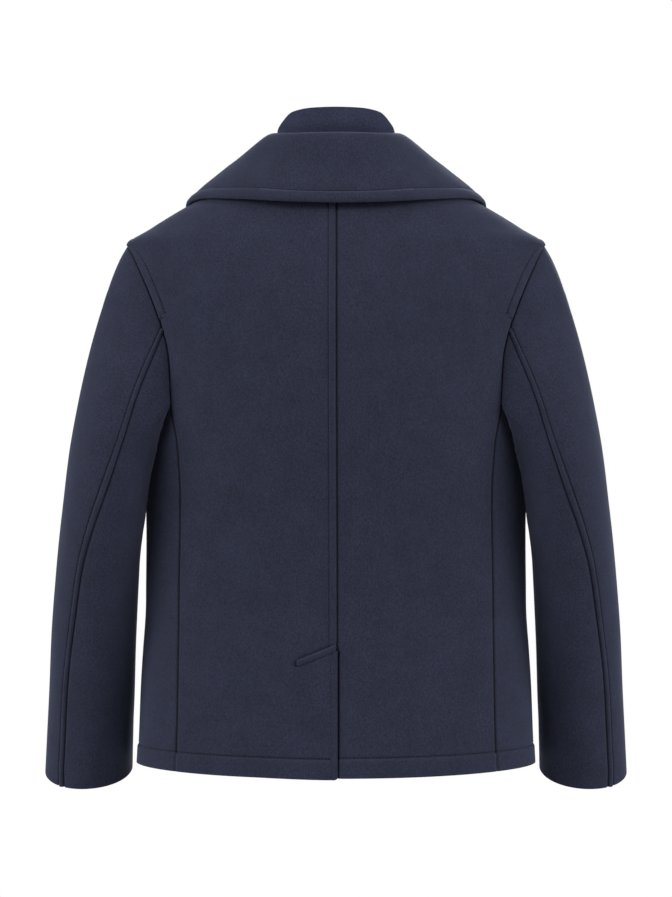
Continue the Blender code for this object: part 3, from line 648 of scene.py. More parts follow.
def wool(name, colour):
    """Brushed melton: a clouded, heathered face of short felted fibres over a faint twill, with painted shade
    darkening its seams and stitch grooves.
    """
    n = Nodes(name, Sheen_Weight=0.22, Sheen_Roughness=0.45, Specular_IOR_Level=0.18)
    n.shader.inputs["Sheen Tint"].default_value = (0.50, 0.56, 0.80, 1.0)
    clouds = n.noise(34.0, 3.0, 0.6)
    heather = n.noise(560.0, 3.0, 0.65, (1.0, 1.0, 0.75))
    fibres = n.noise(1500.0, 2.0, 0.7, (1.0, 1.0, 0.45))
    cross = n.noise(1300.0, 2.0, 0.7, (0.4, 0.4, 1.3))
    # Painted shade: the colour is darkened where points lie deep in a seam or under stitches.
    painted_groove_shade = n.add("ShaderNodeAttribute", attribute_name="painted_groove_shade").outputs["Fac"]
    light = n.times(
        n.spread(clouds, 0.32, 0.68, 0.90, 1.10),
        n.spread(heather, 0.30, 0.70, 0.60, 1.42),
        n.spread(fibres, 0.30, 0.70, 0.76, 1.26),
        n.spread(cross, 0.30, 0.72, 0.86, 1.16),
        n.spread(painted_groove_shade, 0.15, 1.0, 1.0, GROOVE_SHADE),
    )
    n.tint(colour, light)
    n.roughen(n.spread(heather, 0.3, 0.7, 0.85, 0.95))
    height = n.maths("ADD", n.times(heather, 0.6), n.times(fibres, 0.5))
    n.bump(n.maths("ADD", height, n.times(cross, 0.35)), 0.35, 0.0007)
    return n.material


def thread_finish(name, colour):
    """Twisted thread: fine slanted ply lines with a low gloss."""
    n = Nodes(name, Roughness=0.6)
    ply = n.noise(2600.0, 2.0, 0.6, (1.0, 1.0, 0.6))
    n.tint(colour, n.spread(ply, 0.3, 0.7, 0.75, 1.25))
    n.bump(ply, 0.4, 0.0001)
    return n.material


def resin(name, colour):
    """Dark satin resin with faint clouds, worn a little duller in places."""
    n = Nodes(name, Specular_IOR_Level=0.32)
    clouds = n.noise(160.0, 4.0, 0.6, (1.0, 1.0, 0.5))
    wear = n.noise(900.0, 3.0, 0.6)
    n.tint(colour, n.spread(clouds, 0.3, 0.7, 0.65, 1.5))
    n.roughen(n.spread(wear, 0.3, 0.7, 0.30, 0.46))
    n.bump(wear, 0.08, 0.0002)
    return n.material


NAVY = (0.0170, 0.0196, 0.0382, 1.0)
WOOL_BODY = wool("wool_body_face", NAVY)
WOOL_COLLAR = wool("wool_collar_face", NAVY)
# The band's wool is the same navy made 1.28 times lighter as painted light, so that the band shows as bright
# as the collar.
WOOL_BAND_PAINTED_LIGHT = wool("wool_band_painted_light", (0.0218, 0.0251, 0.0489, 1.0))
WOOL_SLEEVES = wool("wool_sleeves_face", NAVY)
THREAD = thread_finish("sewing_thread", (0.011, 0.012, 0.022, 1.0))
RESIN = resin("button_resin_satin", (0.008, 0.009, 0.015, 1.0))


# ---- back


BACK_FIRST = NEAR_SEAM + [CENTRE_STRIP + off for off in NEAR_STITCH[1:]]
BACK_FIRST += [0.0130 + 0.0024 * k for k in range(11)]
BACK_FIRST += [BAR_CORNERS[0][0] + off for off in NEAR_STITCH]
BACK_CENTRE = BACK_FIRST.index(CENTRE_STRIP)
BACK_EDGE = -len(NEAR_SEAM) - 4
# The strip down the back's armhole, wider where the body turns away, so that it looks even from behind.
ARM_STRIP = Table(
    ("height", "width"),
    [
        (-0.200, 0.0132),
        (-0.168, 0.0137),
        (-0.142, 0.0146),
        (-0.120, 0.0158),
        (-0.106, 0.0158),
        (-0.092, 0.0116),
    ],
)


def armhole_strip(distance, height, width=STRIP_WIDTH):
    """The strip beside the armhole. It ends at a short slanted row of stitches."""
    end = height - STRIP_ENDS - 0.7 * distance
    held = fade(-0.0008, 0.0008, end)
    slant = stitched(end) * (1 - fade(width, width + 0.001, distance))
    return held * strip(distance, width) + slant


def along_bar(row, height):
    """A row of the left back, slanted near the bar above the vent so that it runs beside the bar."""
    (far, top_far), (inner, top_inner), _, _ = BAR_CORNERS
    x = row[:, 0]
    slope = (top_inner - top_far) / (far - inner)
    reach = fade(BAR_TOP + 0.055, BAR_TOP + 0.004, height) * fade(BAR_TOP - 0.065, BAR_TOP - 0.012, height)
    drop = slope * np.clip(x - inner, 0, far + 0.003) * (1 - fade(far + 0.002, far + 0.055, x)) * reach
    level = row[:, 2] - drop
    moved = ring(turn_at(np.maximum(x, 0), level, front=False), level)
    return np.where((drop > 0)[:, None], moved, row)


def from_armhole(row, along, height):
    """How far a row's points lie from the armhole: along the row, or above it from the shoulder point."""
    if height <= ARMHOLE_TOP:
        return along
    return np.linalg.norm(row - ring(np.array(math.pi / 2), ARMHOLE_TOP), axis=-1)


def hem_rise(height):
    """The turned-up hem: padded below its row of stitches, and rounded over at its edge."""
    return STRIP_RISE * (1 - fade(HEM_LINE - 0.0030, HEM_LINE, height)) + stitched(height - HEM_LINE)


def back_grid(vent_side):
    """Right half of the back. vent_side is 1 for the half with the underlap, -1 for the half over it."""
    rows = []
    reliefs = []
    for height in ROWS:
        end = math.pi / 2 if height >= ARMHOLE_TOP else edge_turn("back", height)
        width = float(ARM_STRIP.read("width", height))
        columns = (BACK_FIRST, 42, [width - off for off in NEAR_STITCH] + NEAR_SEAM[::-1])
        row, places, length = body_row(height, 0.0, end, columns)
        off = length - places
        rise = seam(off) + armhole_strip(from_armhole(row, off, height), height, width)
        row[:, 0] += vent_side * SEAM_LEAN * fade(-0.15, VENT_TOP, height) * (1 - fade(0.0, 0.080, places))
        if height > VENT_TOP:
            rise += hem_rise(height) + seam(places)
            if vent_side < 0:
                rise += strip(places, CENTRE_STRIP, CENTRE_PULL)
        elif vent_side < 0:
            row[0, 0] = -VENT_OVERLAP
            short = max(VENT_CORNER - (height - HEM), 0.0)
            inset = VENT_CORNER - math.sqrt(VENT_CORNER**2 - short**2)
            row[:, 0] += inset * (1 - fade(0.0, 0.0070, places))
            edge = places + VENT_OVERLAP * 0.6
            on_strip = 1 - fade(CENTRE_STRIP - 0.001, CENTRE_STRIP + 0.001, edge)
            rise += hem_rise(height) * (1 - on_strip) + 0.45 * strip(edge, CENTRE_STRIP, CENTRE_PULL)
            rise += on_strip * 0.5 * STRIP_RISE * (1 - fade(HEM_LINE - 0.003, HEM_LINE, height))
        else:
            rise += hem_rise(height)
        if vent_side < 0:
            row = along_bar(row, height)
            rise += bar_groove(row)
            row[:, 2] -= VENT_DROP * fade(HEM + 0.060, HEM, height) * (1 - fade(0.0, 0.100, places))
        rows.append(lifted(row, rise + fold_rise(row)))
        reliefs.append(rise)
    return np.array(rows), np.array(reliefs)


def bar_groove(points):
    """The dip in the left back along both long sides and the far end of the bar, and the ridge below it."""
    x, z = points[:, 0], points[:, 2]
    (far, top_far), (inner, top_inner), _, (_, low_far) = BAR_CORNERS
    top = top_far + (top_inner - top_far) / (inner - far) * (x - far)
    width = top_far - low_far
    past_side = np.abs(z - top + width / 2) - width / 2
    along = 1 - fade(far, far + 0.001, x)
    end = stitched(x - far - 0.0004) * (1 - fade(0.0, 0.001, past_side))
    ridge = BAR_RIDGE * np.exp(-(((top - width - z - 0.0038) / 0.0024) ** 2))
    return BAR_SINK * (stitched(np.abs(past_side)) * along + end) + ridge * along


def right_back_grid():
    """The right back, with the vent's underlap stepped inwards and carried on past the centre."""
    grid, relief = back_grid(1)
    near_step = [-0.002, 0.0004, 0.0018, 0.0030, 0.0040, 0.0048, 0.0060]
    lap = np.append(np.linspace(-UNDERLAP, -0.006, 8), near_step)
    extra = len(lap) - len(NEAR_SEAM)
    grid = np.concatenate([np.repeat(grid[:, :1], extra, axis=1), grid], axis=1)
    relief = np.concatenate([np.repeat(relief[:, :1], extra, axis=1), relief], axis=1)
    used = np.ones((grid.shape[0] - 1, grid.shape[1] - 1), bool)
    used[: ROWS.index(VENT_TOP), :extra] = False
    step = -VENT_STEP * (1 - fade(0.0012, 0.0058, lap))
    for i, height in enumerate(ROWS):
        if height <= VENT_TOP:
            points = ring(turn_at(lap, height, front=False), height)
            grid[i, : len(lap)] = lifted(points, step + hem_rise(height) + fold_rise(points))
            relief[i, : len(lap)] = hem_rise(height)
    return grid, relief, used


def armhole_band():
    """The first and last row that the armhole's strip runs along."""
    low, high = ARMHOLE_STITCHES
    rows = [i for i, height in enumerate(ROWS) if low <= height <= high]
    return rows[0], rows[-1] + 1


def make_backs():
    hem = near(ROWS, HEM_LINE)
    first, last = armhole_band()
    grid, relief, used = right_back_grid()
    normals = outward(grid)
    rows = [column_line(grid, normals, BACK_EDGE, first, last), row_line(grid, normals, hem, 12)]
    right = cloth("back_right", grid, WOOL_BODY, relief, used=used)
    made = {"back_right": (right, [stitches("back_right", rows)])}

    grid, relief = back_grid(-1)
    normals = outward(grid)
    rows = [
        column_line(grid, normals, BACK_CENTRE, 1, -1),
        column_line(grid, normals, BACK_EDGE, first, last),
        row_line(grid, normals, hem, BACK_CENTRE),
    ]
    left = cloth("back_left", mirrored(grid, -1), WOOL_BODY, relief, flip=True)
    made["back_left"] = (left, [stitches("back_left", rows, -1)])
    return made


# ---- front


def lap_rise(across, height):
    """How far the left front stands off the body, where it lies over the right front and the right lapel."""
    reach = 1 - fade(LAP_FULL, LAP_START, across)
    below_collar = 1 - fade(-0.122, -0.080, height)
    over_lapel = fade(-0.360, -0.262, height)
    return reach * below_collar * (LAP_RISE + LAPEL_UNDER_RISE * over_lapel)


def opening_at(height):
    """Where a front ends towards the centre: its edge, its lapel's roll line, then the neck seam."""
    neck_side = float(TORSO.read("half_width", 0.0))
    heights = (BREAK_HEIGHT, GORGE_HEIGHT, 0.0)
    return float(np.interp(height, heights, (FRONT_EDGE, GORGE_ACROSS, neck_side)))


def underarm_drop(share, height):
    """How far a row of the front dips below its own height under the armhole."""
    return UNDERARM_DROP * np.sin(math.pi * share) * float(fade(UNDERARM_FADE, ARMHOLE_END, height))


UNDER_COLUMNS = (NEAR_SEAM, 30, [0.0020, 0.0004])
CHEST_COLUMNS = (
    NEAR_SEAM + [STRIP_WIDTH + off for off in NEAR_STITCH],
    50,
    [STRIP_WIDTH - off for off in NEAR_STITCH] + [0.0062, 0.0046, 0.0032, 0.0020, 0.0010, 0.0],
)
UNDER_COUNT = len(NEAR_SEAM) + UNDER_COLUMNS[1] + 2
CHEST_ARM = UNDER_COUNT + len(NEAR_SEAM) + 3
CHEST_EDGE = -10


def front_grid(overlies):
    """Right front with the side of the body. Rows above the armhole's end have no cells under the arm."""
    rows = []
    reliefs = []
    for height in ROWS:
        arm = edge_turn("front", height) if height <= ARMHOLE_TOP else math.pi / 2
        end = float(turn_at(opening_at(height), height, front=True))
        lap = SEAM_LAP if height > ARMHOLE_END else 0.0
        row, places, length = body_row(height, arm, end, CHEST_COLUMNS, lap)
        rise = fade(ARMHOLE_END - 0.004, ARMHOLE_END, height) * seam(places)
        rise += armhole_strip(from_armhole(row, places, height), height)
        rise += fade(BREAK_HEIGHT + 0.004, BREAK_HEIGHT - 0.004, height) * strip(length - places, STRIP_WIDTH)
        rise += hem_rise(height)
        if height > ARMHOLE_END:
            side = np.repeat(row[:1], UNDER_COUNT, axis=0)
            side_rise = np.full(UNDER_COUNT, rise[0])
        else:
            begin = edge_turn("back", height)
            side, side_places, _ = body_row(height, begin, arm, UNDER_COLUMNS)
            turns = np.linspace(begin, arm, 200)
            shares = np.interp(side[:, 1], ring(turns, height)[:, 1], np.linspace(0, 1, 200))
            angle = begin + (arm - begin) * shares
            level = height - underarm_drop(shares, height) + hem_lift(angle, height)
            side = tucked(ring(angle, level), SEAM_LAP)
            side_rise = seam(side_places) + hem_rise(height) + seam(ARMHOLE_END - height)
        if height == 0.0:
            row = np.repeat(row[-1:], len(row), axis=0)
            side = np.repeat(row[:1], len(side), axis=0)
            rise *= 0.0
            side_rise *= 0.0
        points = np.concatenate([side, row])
        relief = np.concatenate([side_rise, rise])
        amount = relief + fold_rise(points) * fade(0.0, -0.03, height)
        if overlies:
            amount[UNDER_COUNT:] += lap_rise(row[:, 0], height)
        rows.append(lifted(points, amount))
        reliefs.append(relief)
    grid = np.array(rows)
    used = np.ones((grid.shape[0] - 1, grid.shape[1] - 1), bool)
    used[: ROWS.index(ARMHOLE_END), :UNDER_COUNT] = False
    return grid, np.array(reliefs), used


def make_fronts():
    made = {}
    hem = near(ROWS, HEM_LINE)
    below_break = near(ROWS, BREAK_HEIGHT)
    for side, word in SIDES:
        name = f"front_{word}"
        grid, relief, used = front_grid(overlies=side < 0)
        normals = outward(grid)
        piece = cloth(name, mirrored(grid, side), WOOL_BODY, relief, used=used, flip=side < 0)
        rows = [
            row_line(grid, normals, hem, 1, CHEST_EDGE + 1),
            column_line(grid, normals, CHEST_EDGE, below_break, hem + 1),
            column_line(grid, normals, CHEST_ARM, *armhole_band()),
        ]
        made[name] = (piece, [stitches(name, rows, side)])
    return made


# ---- lapels


def chest_point(across, height, rise):
    """A point on the chest, this far off the body's surface."""
    across = np.asarray(across, float)
    height = np.asarray(height, float)
    point = ring(turn_at(across, height, front=True), height)
    return lifted(point, rise + fold_rise(point))


def lapel_grid(overlies):
    """Right lapel, from the roll line round a soft fold and over the chest. It closes up at the break."""
    gorge = np.array([GORGE_ACROSS, GORGE_HEIGHT])
    low = np.array([FRONT_EDGE, BREAK_HEIGHT])
    along = unit(low - gorge)
    top = gorge + along * GORGE_GAP
    inward = np.array([along[1], -along[0]])
    corner = np.array(LAPEL_CORNER)
    near_top = [top[1] - off for off in (0.0008, 0.0018, 0.0034, 0.0055)]
    near_top += [top[1] - LAPEL_STITCH + off for off in (-0.0012, 0.0, 0.0012)]
    heights = finer([top[1], low[1] + 0.020], 0.0036, near_top)
    reaches = np.append([0.03, 0.07, 0.12], np.linspace(0.18, 0.80, 20)) / 0.80
    rows = []
    reliefs = []
    for height in heights:
        share = (top[1] - height) / (top[1] - low[1])
        fold = top + (low - top) * share
        edge = corner + (low - corner) * share
        edge = edge - inward * LAPEL_BELLY * math.sin(math.pi * share) * (1 - share)
        radius = LAPEL_ROLL + (LAPEL_ROLL_TOP - LAPEL_ROLL) * float(1 - fade(0.0, 0.30, share))
        start = -CLOTH / 2
        flat = [fold + inward * SEAM_GAP]
        rise = [start]
        for turn in np.radians(np.linspace(0, 180, 13)):
            flat.append(fold + inward * (SEAM_GAP + LAPEL_LEAD + radius * math.sin(turn)))
            rise.append(start + radius * (1 - math.cos(turn)))
        roll_top = rise[-1]
        dips = [0.0] * len(rise)
        width = float(np.linalg.norm(edge - fold))
        stitch = 1 - min(LAPEL_STITCH, 0.3 * width) / width
        marks = [stitch - 0.0012 / width, stitch, stitch + 0.0012 / width]
        free = np.linspace(stitch, 1.0, 6)[2:]
        for reach in [*(reaches * (marks[0] - 0.02)), *marks, *free]:
            puff = 0.0
            if reach > stitch:
                puff = 0.0004 * math.sin(math.pi * (reach - stitch) / (1.0001 - stitch)) ** 0.6
            dip = 0.8 * float(stitched((reach - stitch) * width))
            if reach < 1.0:
                dip += 0.8 * float(stitched((top[1] - LAPEL_STITCH) - height))
            flat.append(fold + (edge - fold) * reach)
            rise.append(LAPEL_REST + (roll_top - LAPEL_REST) * (1 - reach) ** 2 + puff + dip)
            dips.append(dip)
        across, level = np.array(flat).T
        lap = lap_rise(across, level) if overlies else 0.0
        rows.append(chest_point(across, level, np.array(rise) + lap))
        reliefs.append(dips)
    return np.array(rows), np.array(reliefs), near(heights, top[1] - LAPEL_STITCH)


def make_lapels():
    made = {}
    for side, word in SIDES:
        name = f"lapel_{word}"
        grid, relief, notch = lapel_grid(overlies=side < 0)
        normals = outward(grid)
        flat = mirrored(grid, side)
        piece = cloth(name, flat, WOOL_COLLAR, relief, offset=0.0, flip=side < 0, round_edge=0.0012)
        outer = grid + normals * CLOTH / 2
        stitch = grid.shape[1] - 6
        rows = [column_line(outer, normals, stitch, notch), row_line(outer, normals, notch, 14, stitch + 1)]
        made[name] = (piece, [stitches(name, rows, side)])
    return made


# ---- collar


COLLAR = Table(
    (
        "round", "foot_turn", "foot_height", "stand", "lean",
        "mid_x", "mid_y", "mid_z", "edge_x", "edge_y", "edge_z", "inner_reach", "outer_reach",
    ),
    [
        (0.00, 0.0, 0.000, 0.0280, 0.0110, 0.000, -0.0935, -0.0140, 0.0000, -0.105, -0.0510, 0.008, 0.010),
        (0.18, 24.5, 0.000, 0.0285, 0.0075, 0.042, -0.0880, -0.0130, 0.0560, -0.100, -0.0494, 0.008, 0.010),
        (0.36, 49.0, 0.000, 0.0310, 0.0000, 0.085, -0.0660, -0.0110, 0.1100, -0.079, -0.0448, 0.008, 0.011),
        (0.54, 74.0, 0.000, 0.0340, -0.0060, 0.113, -0.0300, -0.0030, 0.1590, -0.036, -0.0398, 0.008, 0.012),
        (0.66, 90.0, 0.000, 0.0350, -0.0085, 0.122, 0.0020, -0.0005, 0.1735, 0.002, -0.0420, 0.008, 0.012),
        (0.78, 90.0, -0.008, 0.0270, -0.0060, 0.122, 0.0380, -0.0140, 0.1740, 0.034, -0.0540, 0.007, 0.011),
        (0.89, 90.0, -0.025, 0.0150, -0.0010, 0.116, 0.0620, -0.0440, 0.1660, 0.060, -0.0690, 0.005, 0.008),
        (1.00, 90.0, -0.045, 0.0040, 0.0040, 0.106, 0.0740, -0.0865, 0.1560, 0.072, -0.0790, 0.002, 0.003),
    ],
)
ROLL = Table(
    ("round", "out_x", "out_y", "out_z", "up_x", "up_y", "up_z"),
    [
        (0.00, 0.00, -1.00, 0.00, 0.00, 0.00, 1.00),
        (0.36, 0.70, -0.70, 0.00, 0.00, 0.00, 1.00),
        (0.66, 1.00, 0.00, 0.00, 0.00, 0.00, 1.00),
        (0.85, 0.75, 0.60, 0.25, -0.45, 0.10, 0.90),
        (1.00, 0.30, 0.88, 0.36, -0.80, 0.10, 0.55),
    ],
)
COLLAR_STITCH = 0.0125
COLLAR_STITCH_ROW = 7
COLLAR_STITCH_MORE = 0.0028
COLLAR_HALF = 0.300
COLLAR_PUFF = 0.0013
COLLAR_CURL = 0.0012
COLLAR_ON_CHEST = 0.80
COLLAR_SIDE = 0.66
COLLAR_SETTLE = 0.0032


def bezier(ends, steps):
    """Points of a cubic curve through its four control points."""
    t = np.asarray(steps)[:, None]
    a, b, c, d = ends
    return (1 - t) ** 3 * a + 3 * (1 - t) ** 2 * t * b + 3 * (1 - t) * t**2 * c + t**3 * d


def read_point(table, name, at):
    return np.array([float(table.read(f"{name}_{axis}", at)) for axis in "xyz"])


def collar_section(at):
    """Middle of the collar's cloth at one place round the neck, from its foot over the roll to its edge."""
    height = float(COLLAR.read("foot_height", at))
    if at < COLLAR_SIDE:
        neck = ring(math.radians(float(COLLAR.read("foot_turn", at))), height)
    else:
        neck = ring(turn_at(opening_at(height), height, front=True), height)
    foot = lifted(neck, -CLOTH / 2)
    middle = read_point(COLLAR, "mid", at)
    edge = read_point(COLLAR, "edge", at)
    out = unit(read_point(ROLL, "out", at))
    up = unit(read_point(ROLL, "up", at))
    stand = float(COLLAR.read("stand", at))
    foot = foot + up * 3 * SEAM_GAP
    roll = foot + up * stand + out * float(COLLAR.read("lean", at))
    inner = (foot, foot + up * stand * 0.5, roll - out * float(COLLAR.read("inner_reach", at)), roll)
    fall = middle - roll
    outer = (roll, roll + out * float(COLLAR.read("outer_reach", at)), middle - fall * 0.40, middle)
    leaf = bezier(outer, np.linspace(0, 1, 17)[1:])
    width = float(np.linalg.norm(edge - middle))
    inset = COLLAR_STITCH + COLLAR_STITCH_MORE * float(fade(0.08, 0.36, at) * (1 - fade(0.60, 0.90, at)))
    stitch = 1 - min(inset, 0.9 * width) / width
    before = list(np.linspace(0, stitch - 0.0012 / width, 5)[1:])
    marks = before + [stitch, stitch + 0.0012 / width]
    marks += list(1 - np.array([0.0090, 0.0065, 0.0044, 0.0027, 0.0012, 0.0]) / width)
    free = [middle + (edge - middle) * share for share in marks]
    outside = np.concatenate([leaf, free])
    if at > COLLAR_ON_CHEST:
        outside = kept_forward(outside, LAPEL_REST)
    return np.concatenate([bezier(inner, np.linspace(0, 1, 12)), outside])


def make_collar():
    close = [1 - off / COLLAR_HALF for off in (0.0012, 0.003, 0.006, 0.009)]
    marks = [1 - (COLLAR_STITCH + off) / COLLAR_HALF for off in (-0.0012, 0.0, 0.0012)]
    rounds = finer([0.0, 1.0], 0.0125, close + marks)
    grid = both_halves([collar_section(at) for at in rounds])
    normals = outward(grid, flip=True)
    middle = len(rounds) - 1
    end = near(rounds, 1 - COLLAR_STITCH / COLLAR_HALF)
    ends = (middle - end, middle + end)

    # How far each point lies from the collar's edge, and how far round the neck: its back is 0, its front 1.
    distance = np.array([along_line(grid[:, j]) for j in range(grid.shape[1])]).T
    line = distance[COLLAR_STITCH_ROW]
    steps = np.array(rounds[::-1] + rounds[1:])
    on_fall = 1 - fade(0.055, 0.075, distance)
    relief = stitched(distance - line)
    relief += COLLAR_PUFF * (1 - np.clip(np.abs(1.9 * distance / line - 0.9), 0, 1) ** 3)
    relief += on_fall * stitched((1 - steps) * COLLAR_HALF - COLLAR_STITCH) * (distance > line)
    rise = relief - COLLAR_CURL * (1 - fade(0.0, 0.0042, distance)) ** 2
    over_shoulder = np.exp(-(((steps - COLLAR_SIDE + 0.03) / 0.12) ** 2))
    rise -= COLLAR_SETTLE * over_shoulder * (1 - fade(0.0, 0.022, distance))
    x, y, z = np.moveaxis(grid, -1, 0)
    waves = np.sin(24 * x + 9 * z + 0.4) * np.sin(19 * y - 7 * x) + 0.5 * np.sin(43 * x + 31 * z)
    rise += 0.0004 * on_fall * waves
    grid = grid + normals * rise[..., None]
    piece = cloth("collar", grid, WOOL_COLLAR, relief, offset=0.0, flip=True, round_edge=0.0013)
    outer = grid + normals * CLOTH / 2
    top = near(distance[:, ends[0]], 0.060)
    rows = [row_line(outer, normals, COLLAR_STITCH_ROW, ends[0], ends[1] + 1)]
    rows += [column_line(outer, normals, column, COLLAR_STITCH_ROW, top) for column in ends]
    return {"collar": (piece, [stitches("collar", rows)])}


BAND_TOP = Table(
    ("angle", "top"),
    [
        (0, 0.0590),
        (24, 0.0586),
        (38, 0.0570),
        (45, 0.0555),
        (50, 0.0530),
        (60, 0.0462),
        (73, 0.0392),
        (80, 0.0365),
        (90, 0.0280),
    ],
)
BAND_FACE = Table(
    ("height", "half_width", "depth"),
    [
        (0.0010, 0.0742, 0.0630),
        (0.0200, 0.0618, 0.0650),
        (0.0300, 0.0640, 0.0692),
        (0.0365, 0.0684, 0.0722),
        (0.0420, 0.0702, 0.0733),
        (0.0590, 0.0710, 0.0727),
    ],
)


def band_section(angle):
    """The band's outer face at one angle from the centre back, from its foot to its top."""
    turn = math.radians(angle)
    foot = BAND_FACE.rows[0, 0]
    top = float(BAND_TOP.read("top", angle))
    shares = np.concatenate([np.linspace(0, 0.9, 16), [0.93, 0.96, 0.985, 1.0]])
    heights = foot + (top - foot) * shares
    x = BAND_FACE.read("half_width", heights) * math.sin(turn)
    y = -BAND_FACE.read("depth", heights) * math.cos(turn)
    return np.stack([x, y, heights], axis=-1)


def make_band():
    grid = both_halves([band_section(angle) for angle in np.linspace(0, 88, 45)])
    piece = cloth("collar_stand", grid, WOOL_BAND_PAINTED_LIGHT, round_edge=0.0012)
    return {"collar_stand": (piece, [])}


# ---- sleeves


SLEEVE = Table(
    ("along", "out_x", "out_z", "in_x", "in_z", "middle_y", "half_depth", "tilt"),
    [
        (0.000, 0.2400, -0.0925, 0.2200, -0.3000, 0.002, 0.0800, 0),
        (0.040, 0.2545, -0.1220, 0.2130, -0.3090, -0.002, 0.0815, 0),
        (0.100, 0.2690, -0.1670, 0.2090, -0.3210, -0.009, 0.0830, 0),
        (0.180, 0.2830, -0.2200, 0.2085, -0.3380, -0.018, 0.0830, 1),
        (0.270, 0.2945, -0.2770, 0.2110, -0.3600, -0.025, 0.0815, 2),
        (0.360, 0.3040, -0.3300, 0.2160, -0.3880, -0.026, 0.0785, 3),
        (0.470, 0.3125, -0.3950, 0.2215, -0.4280, -0.021, 0.0745, 5),
        (0.590, 0.3205, -0.4650, 0.2262, -0.4820, -0.011, 0.0695, 8),
        (0.710, 0.3268, -0.5350, 0.2298, -0.5430, 0.002, 0.0640, 11),
        (0.830, 0.3316, -0.6050, 0.2330, -0.6070, 0.017, 0.0590, 15),
        (0.935, 0.3355, -0.6650, 0.2354, -0.6640, 0.030, 0.0545, 18),
        (1.000, 0.3380, -0.6990, 0.2366, -0.6960, 0.037, 0.0520, 20),
    ],
)
SLEEVE_SEAM = Table(
    ("height", "across"),
    [
        (-0.195, 0.1945),
        (-0.271, 0.2239),
        (-0.315, 0.2368),
        (-0.377, 0.2574),
        (-0.412, 0.2702),
        (-0.458, 0.2836),
        (-0.515, 0.2935),
        (-0.586, 0.3038),
        (-0.692, 0.3126),
    ],
)
FRONT_SEAM = 198.86
SLEEVE_GAP = 0.0014
SLEEVE_HANG = Table(
    ("along", "across"),
    [
        (0.00, 0.0000),
        (0.02, 0.0000),
        (0.06, 0.0050),
        (0.10, 0.0100),
        (0.15, 0.0105),
        (0.20, 0.0075),
        (0.26, 0.0035),
        (0.33, 0.0026),
        (0.40, 0.0025),
        (0.50, 0.0000),
        (1.00, 0.0000),
    ],
)
HANG_TURN = 150.0
HANG_WIDTH = 34.0
BACK_SEAM_HEIGHT = -0.195

# Soft folds of a sleeve, as places along it and turns round it. Its outside is 0, its back 90 and its
# inside 180.
SLEEVE_FOLDS = Table(
    ("along", "turn", "to_along", "to_turn", "width", "rise"),
    [
        (0.44, 190, 0.50, 250, 0.013, -0.0010),
        (0.47, 195, 0.55, 265, 0.012, 0.0010),
        (0.53, 195, 0.58, 260, 0.013, -0.0009),
        (0.58, 200, 0.64, 270, 0.014, 0.0008),
        (0.10, 75, 0.30, 60, 0.020, 0.0010),
        (0.12, 120, 0.34, 100, 0.018, -0.0009),
        (0.10, -60, 0.28, -35, 0.020, 0.0012),
        (0.13, -85, 0.32, -70, 0.016, -0.0012),
        (0.66, 30, 0.88, 45, 0.020, 0.0007),
        (0.70, -60, 0.90, -40, 0.018, 0.0008),
        (0.84, 140, 0.90, 190, 0.016, -0.0004),
        (0.40, 10, 0.60, 25, 0.024, -0.0007),
    ],
)
SLEEVE_LENGTH = 0.61
SLEEVE_RADIUS = 0.070


def armhole_loop():
    """The armhole: from the shoulder point down the back, under the arm, up the front and closed."""
    back = [ring(edge_turn("back", z), z) for z in ARMHOLE_ROWS]
    begin = edge_turn("back", ARMHOLE_END)
    shares = np.linspace(0, 1, 34)[1:-1]
    angle = begin + (edge_turn("front", ARMHOLE_END) - begin) * shares
    under = list(ring(angle, ARMHOLE_END - underarm_drop(shares, ARMHOLE_END)))
    front = [ring(edge_turn("front", z), z) for z in ARMHOLE_ROWS[::-1]]
    shoulder = ring(np.array(math.pi / 2), ARMHOLE_TOP)
    return np.array([shoulder] + back + under + front + [shoulder])


def sleeve_frame(along):
    """Middle of one section, its axes outwards, backwards and down the arm, and its half sizes."""
    named = {name: float(SLEEVE.read(name, along)) for name in SLEEVE.columns[1:]}
    out = np.array([named["out_x"], named["middle_y"], named["out_z"]])
    inside = np.array([named["in_x"], named["middle_y"], named["in_z"]])
    half_width = float(np.linalg.norm(out - inside)) / 2
    outwards = unit(out - inside)
    drop = math.radians(named["tilt"])
    backwards = np.array([0, -math.cos(drop), -math.sin(drop)])
    down = np.cross(outwards, backwards)
    return (out + inside) / 2, outwards, backwards, down, half_width, named["half_depth"]


def sleeve_points(along, turns, loop_turns, loop):
    """Points of one section of the sleeve: the armhole's own shape at its start, and an oval further down."""
    start_middle, *start_axes, start_width, start_depth = sleeve_frame(0.0)
    middle, *axes, half_width, depth = sleeve_frame(along)
    at_loop = np.stack([np.interp(turns % 360, loop_turns, loop[:, k]) for k in range(3)], axis=-1)
    from_armhole = (at_loop - start_middle) @ np.array(start_axes).T
    oval_share = float(fade(0.0, 0.30, along))
    from_armhole = from_armhole * np.array([half_width / start_width, depth / start_depth, 1 - oval_share])
    angle = np.radians(turns)
    oval = np.stack([half_width * np.cos(angle), depth * np.sin(angle), 0 * angle], axis=-1)
    shape = from_armhole * (1 - oval_share) + oval * oval_share
    points = middle + shape @ np.array(axes)
    behind = np.exp(-(((turns % 360 - HANG_TURN) / HANG_WIDTH) ** 2))
    points[:, 0] -= SLEEVE_HANG.read("across", along) * behind
    if along > 0.0:
        points = kept_clear(points, np.full(len(turns), SLEEVE_GAP + 0.0018 * float(fade(0.0, 0.06, along))))
    return points


def seam_turn(along, loop_turns, loop):
    """Where round one section the back seam lies."""
    turns = np.linspace(40, 130, 91)
    points = sleeve_points(along, turns, loop_turns, loop)
    off_line = points[:, 0] - SLEEVE_SEAM.read("across", points[:, 2])
    return float(np.interp(0.0, -off_line, turns))


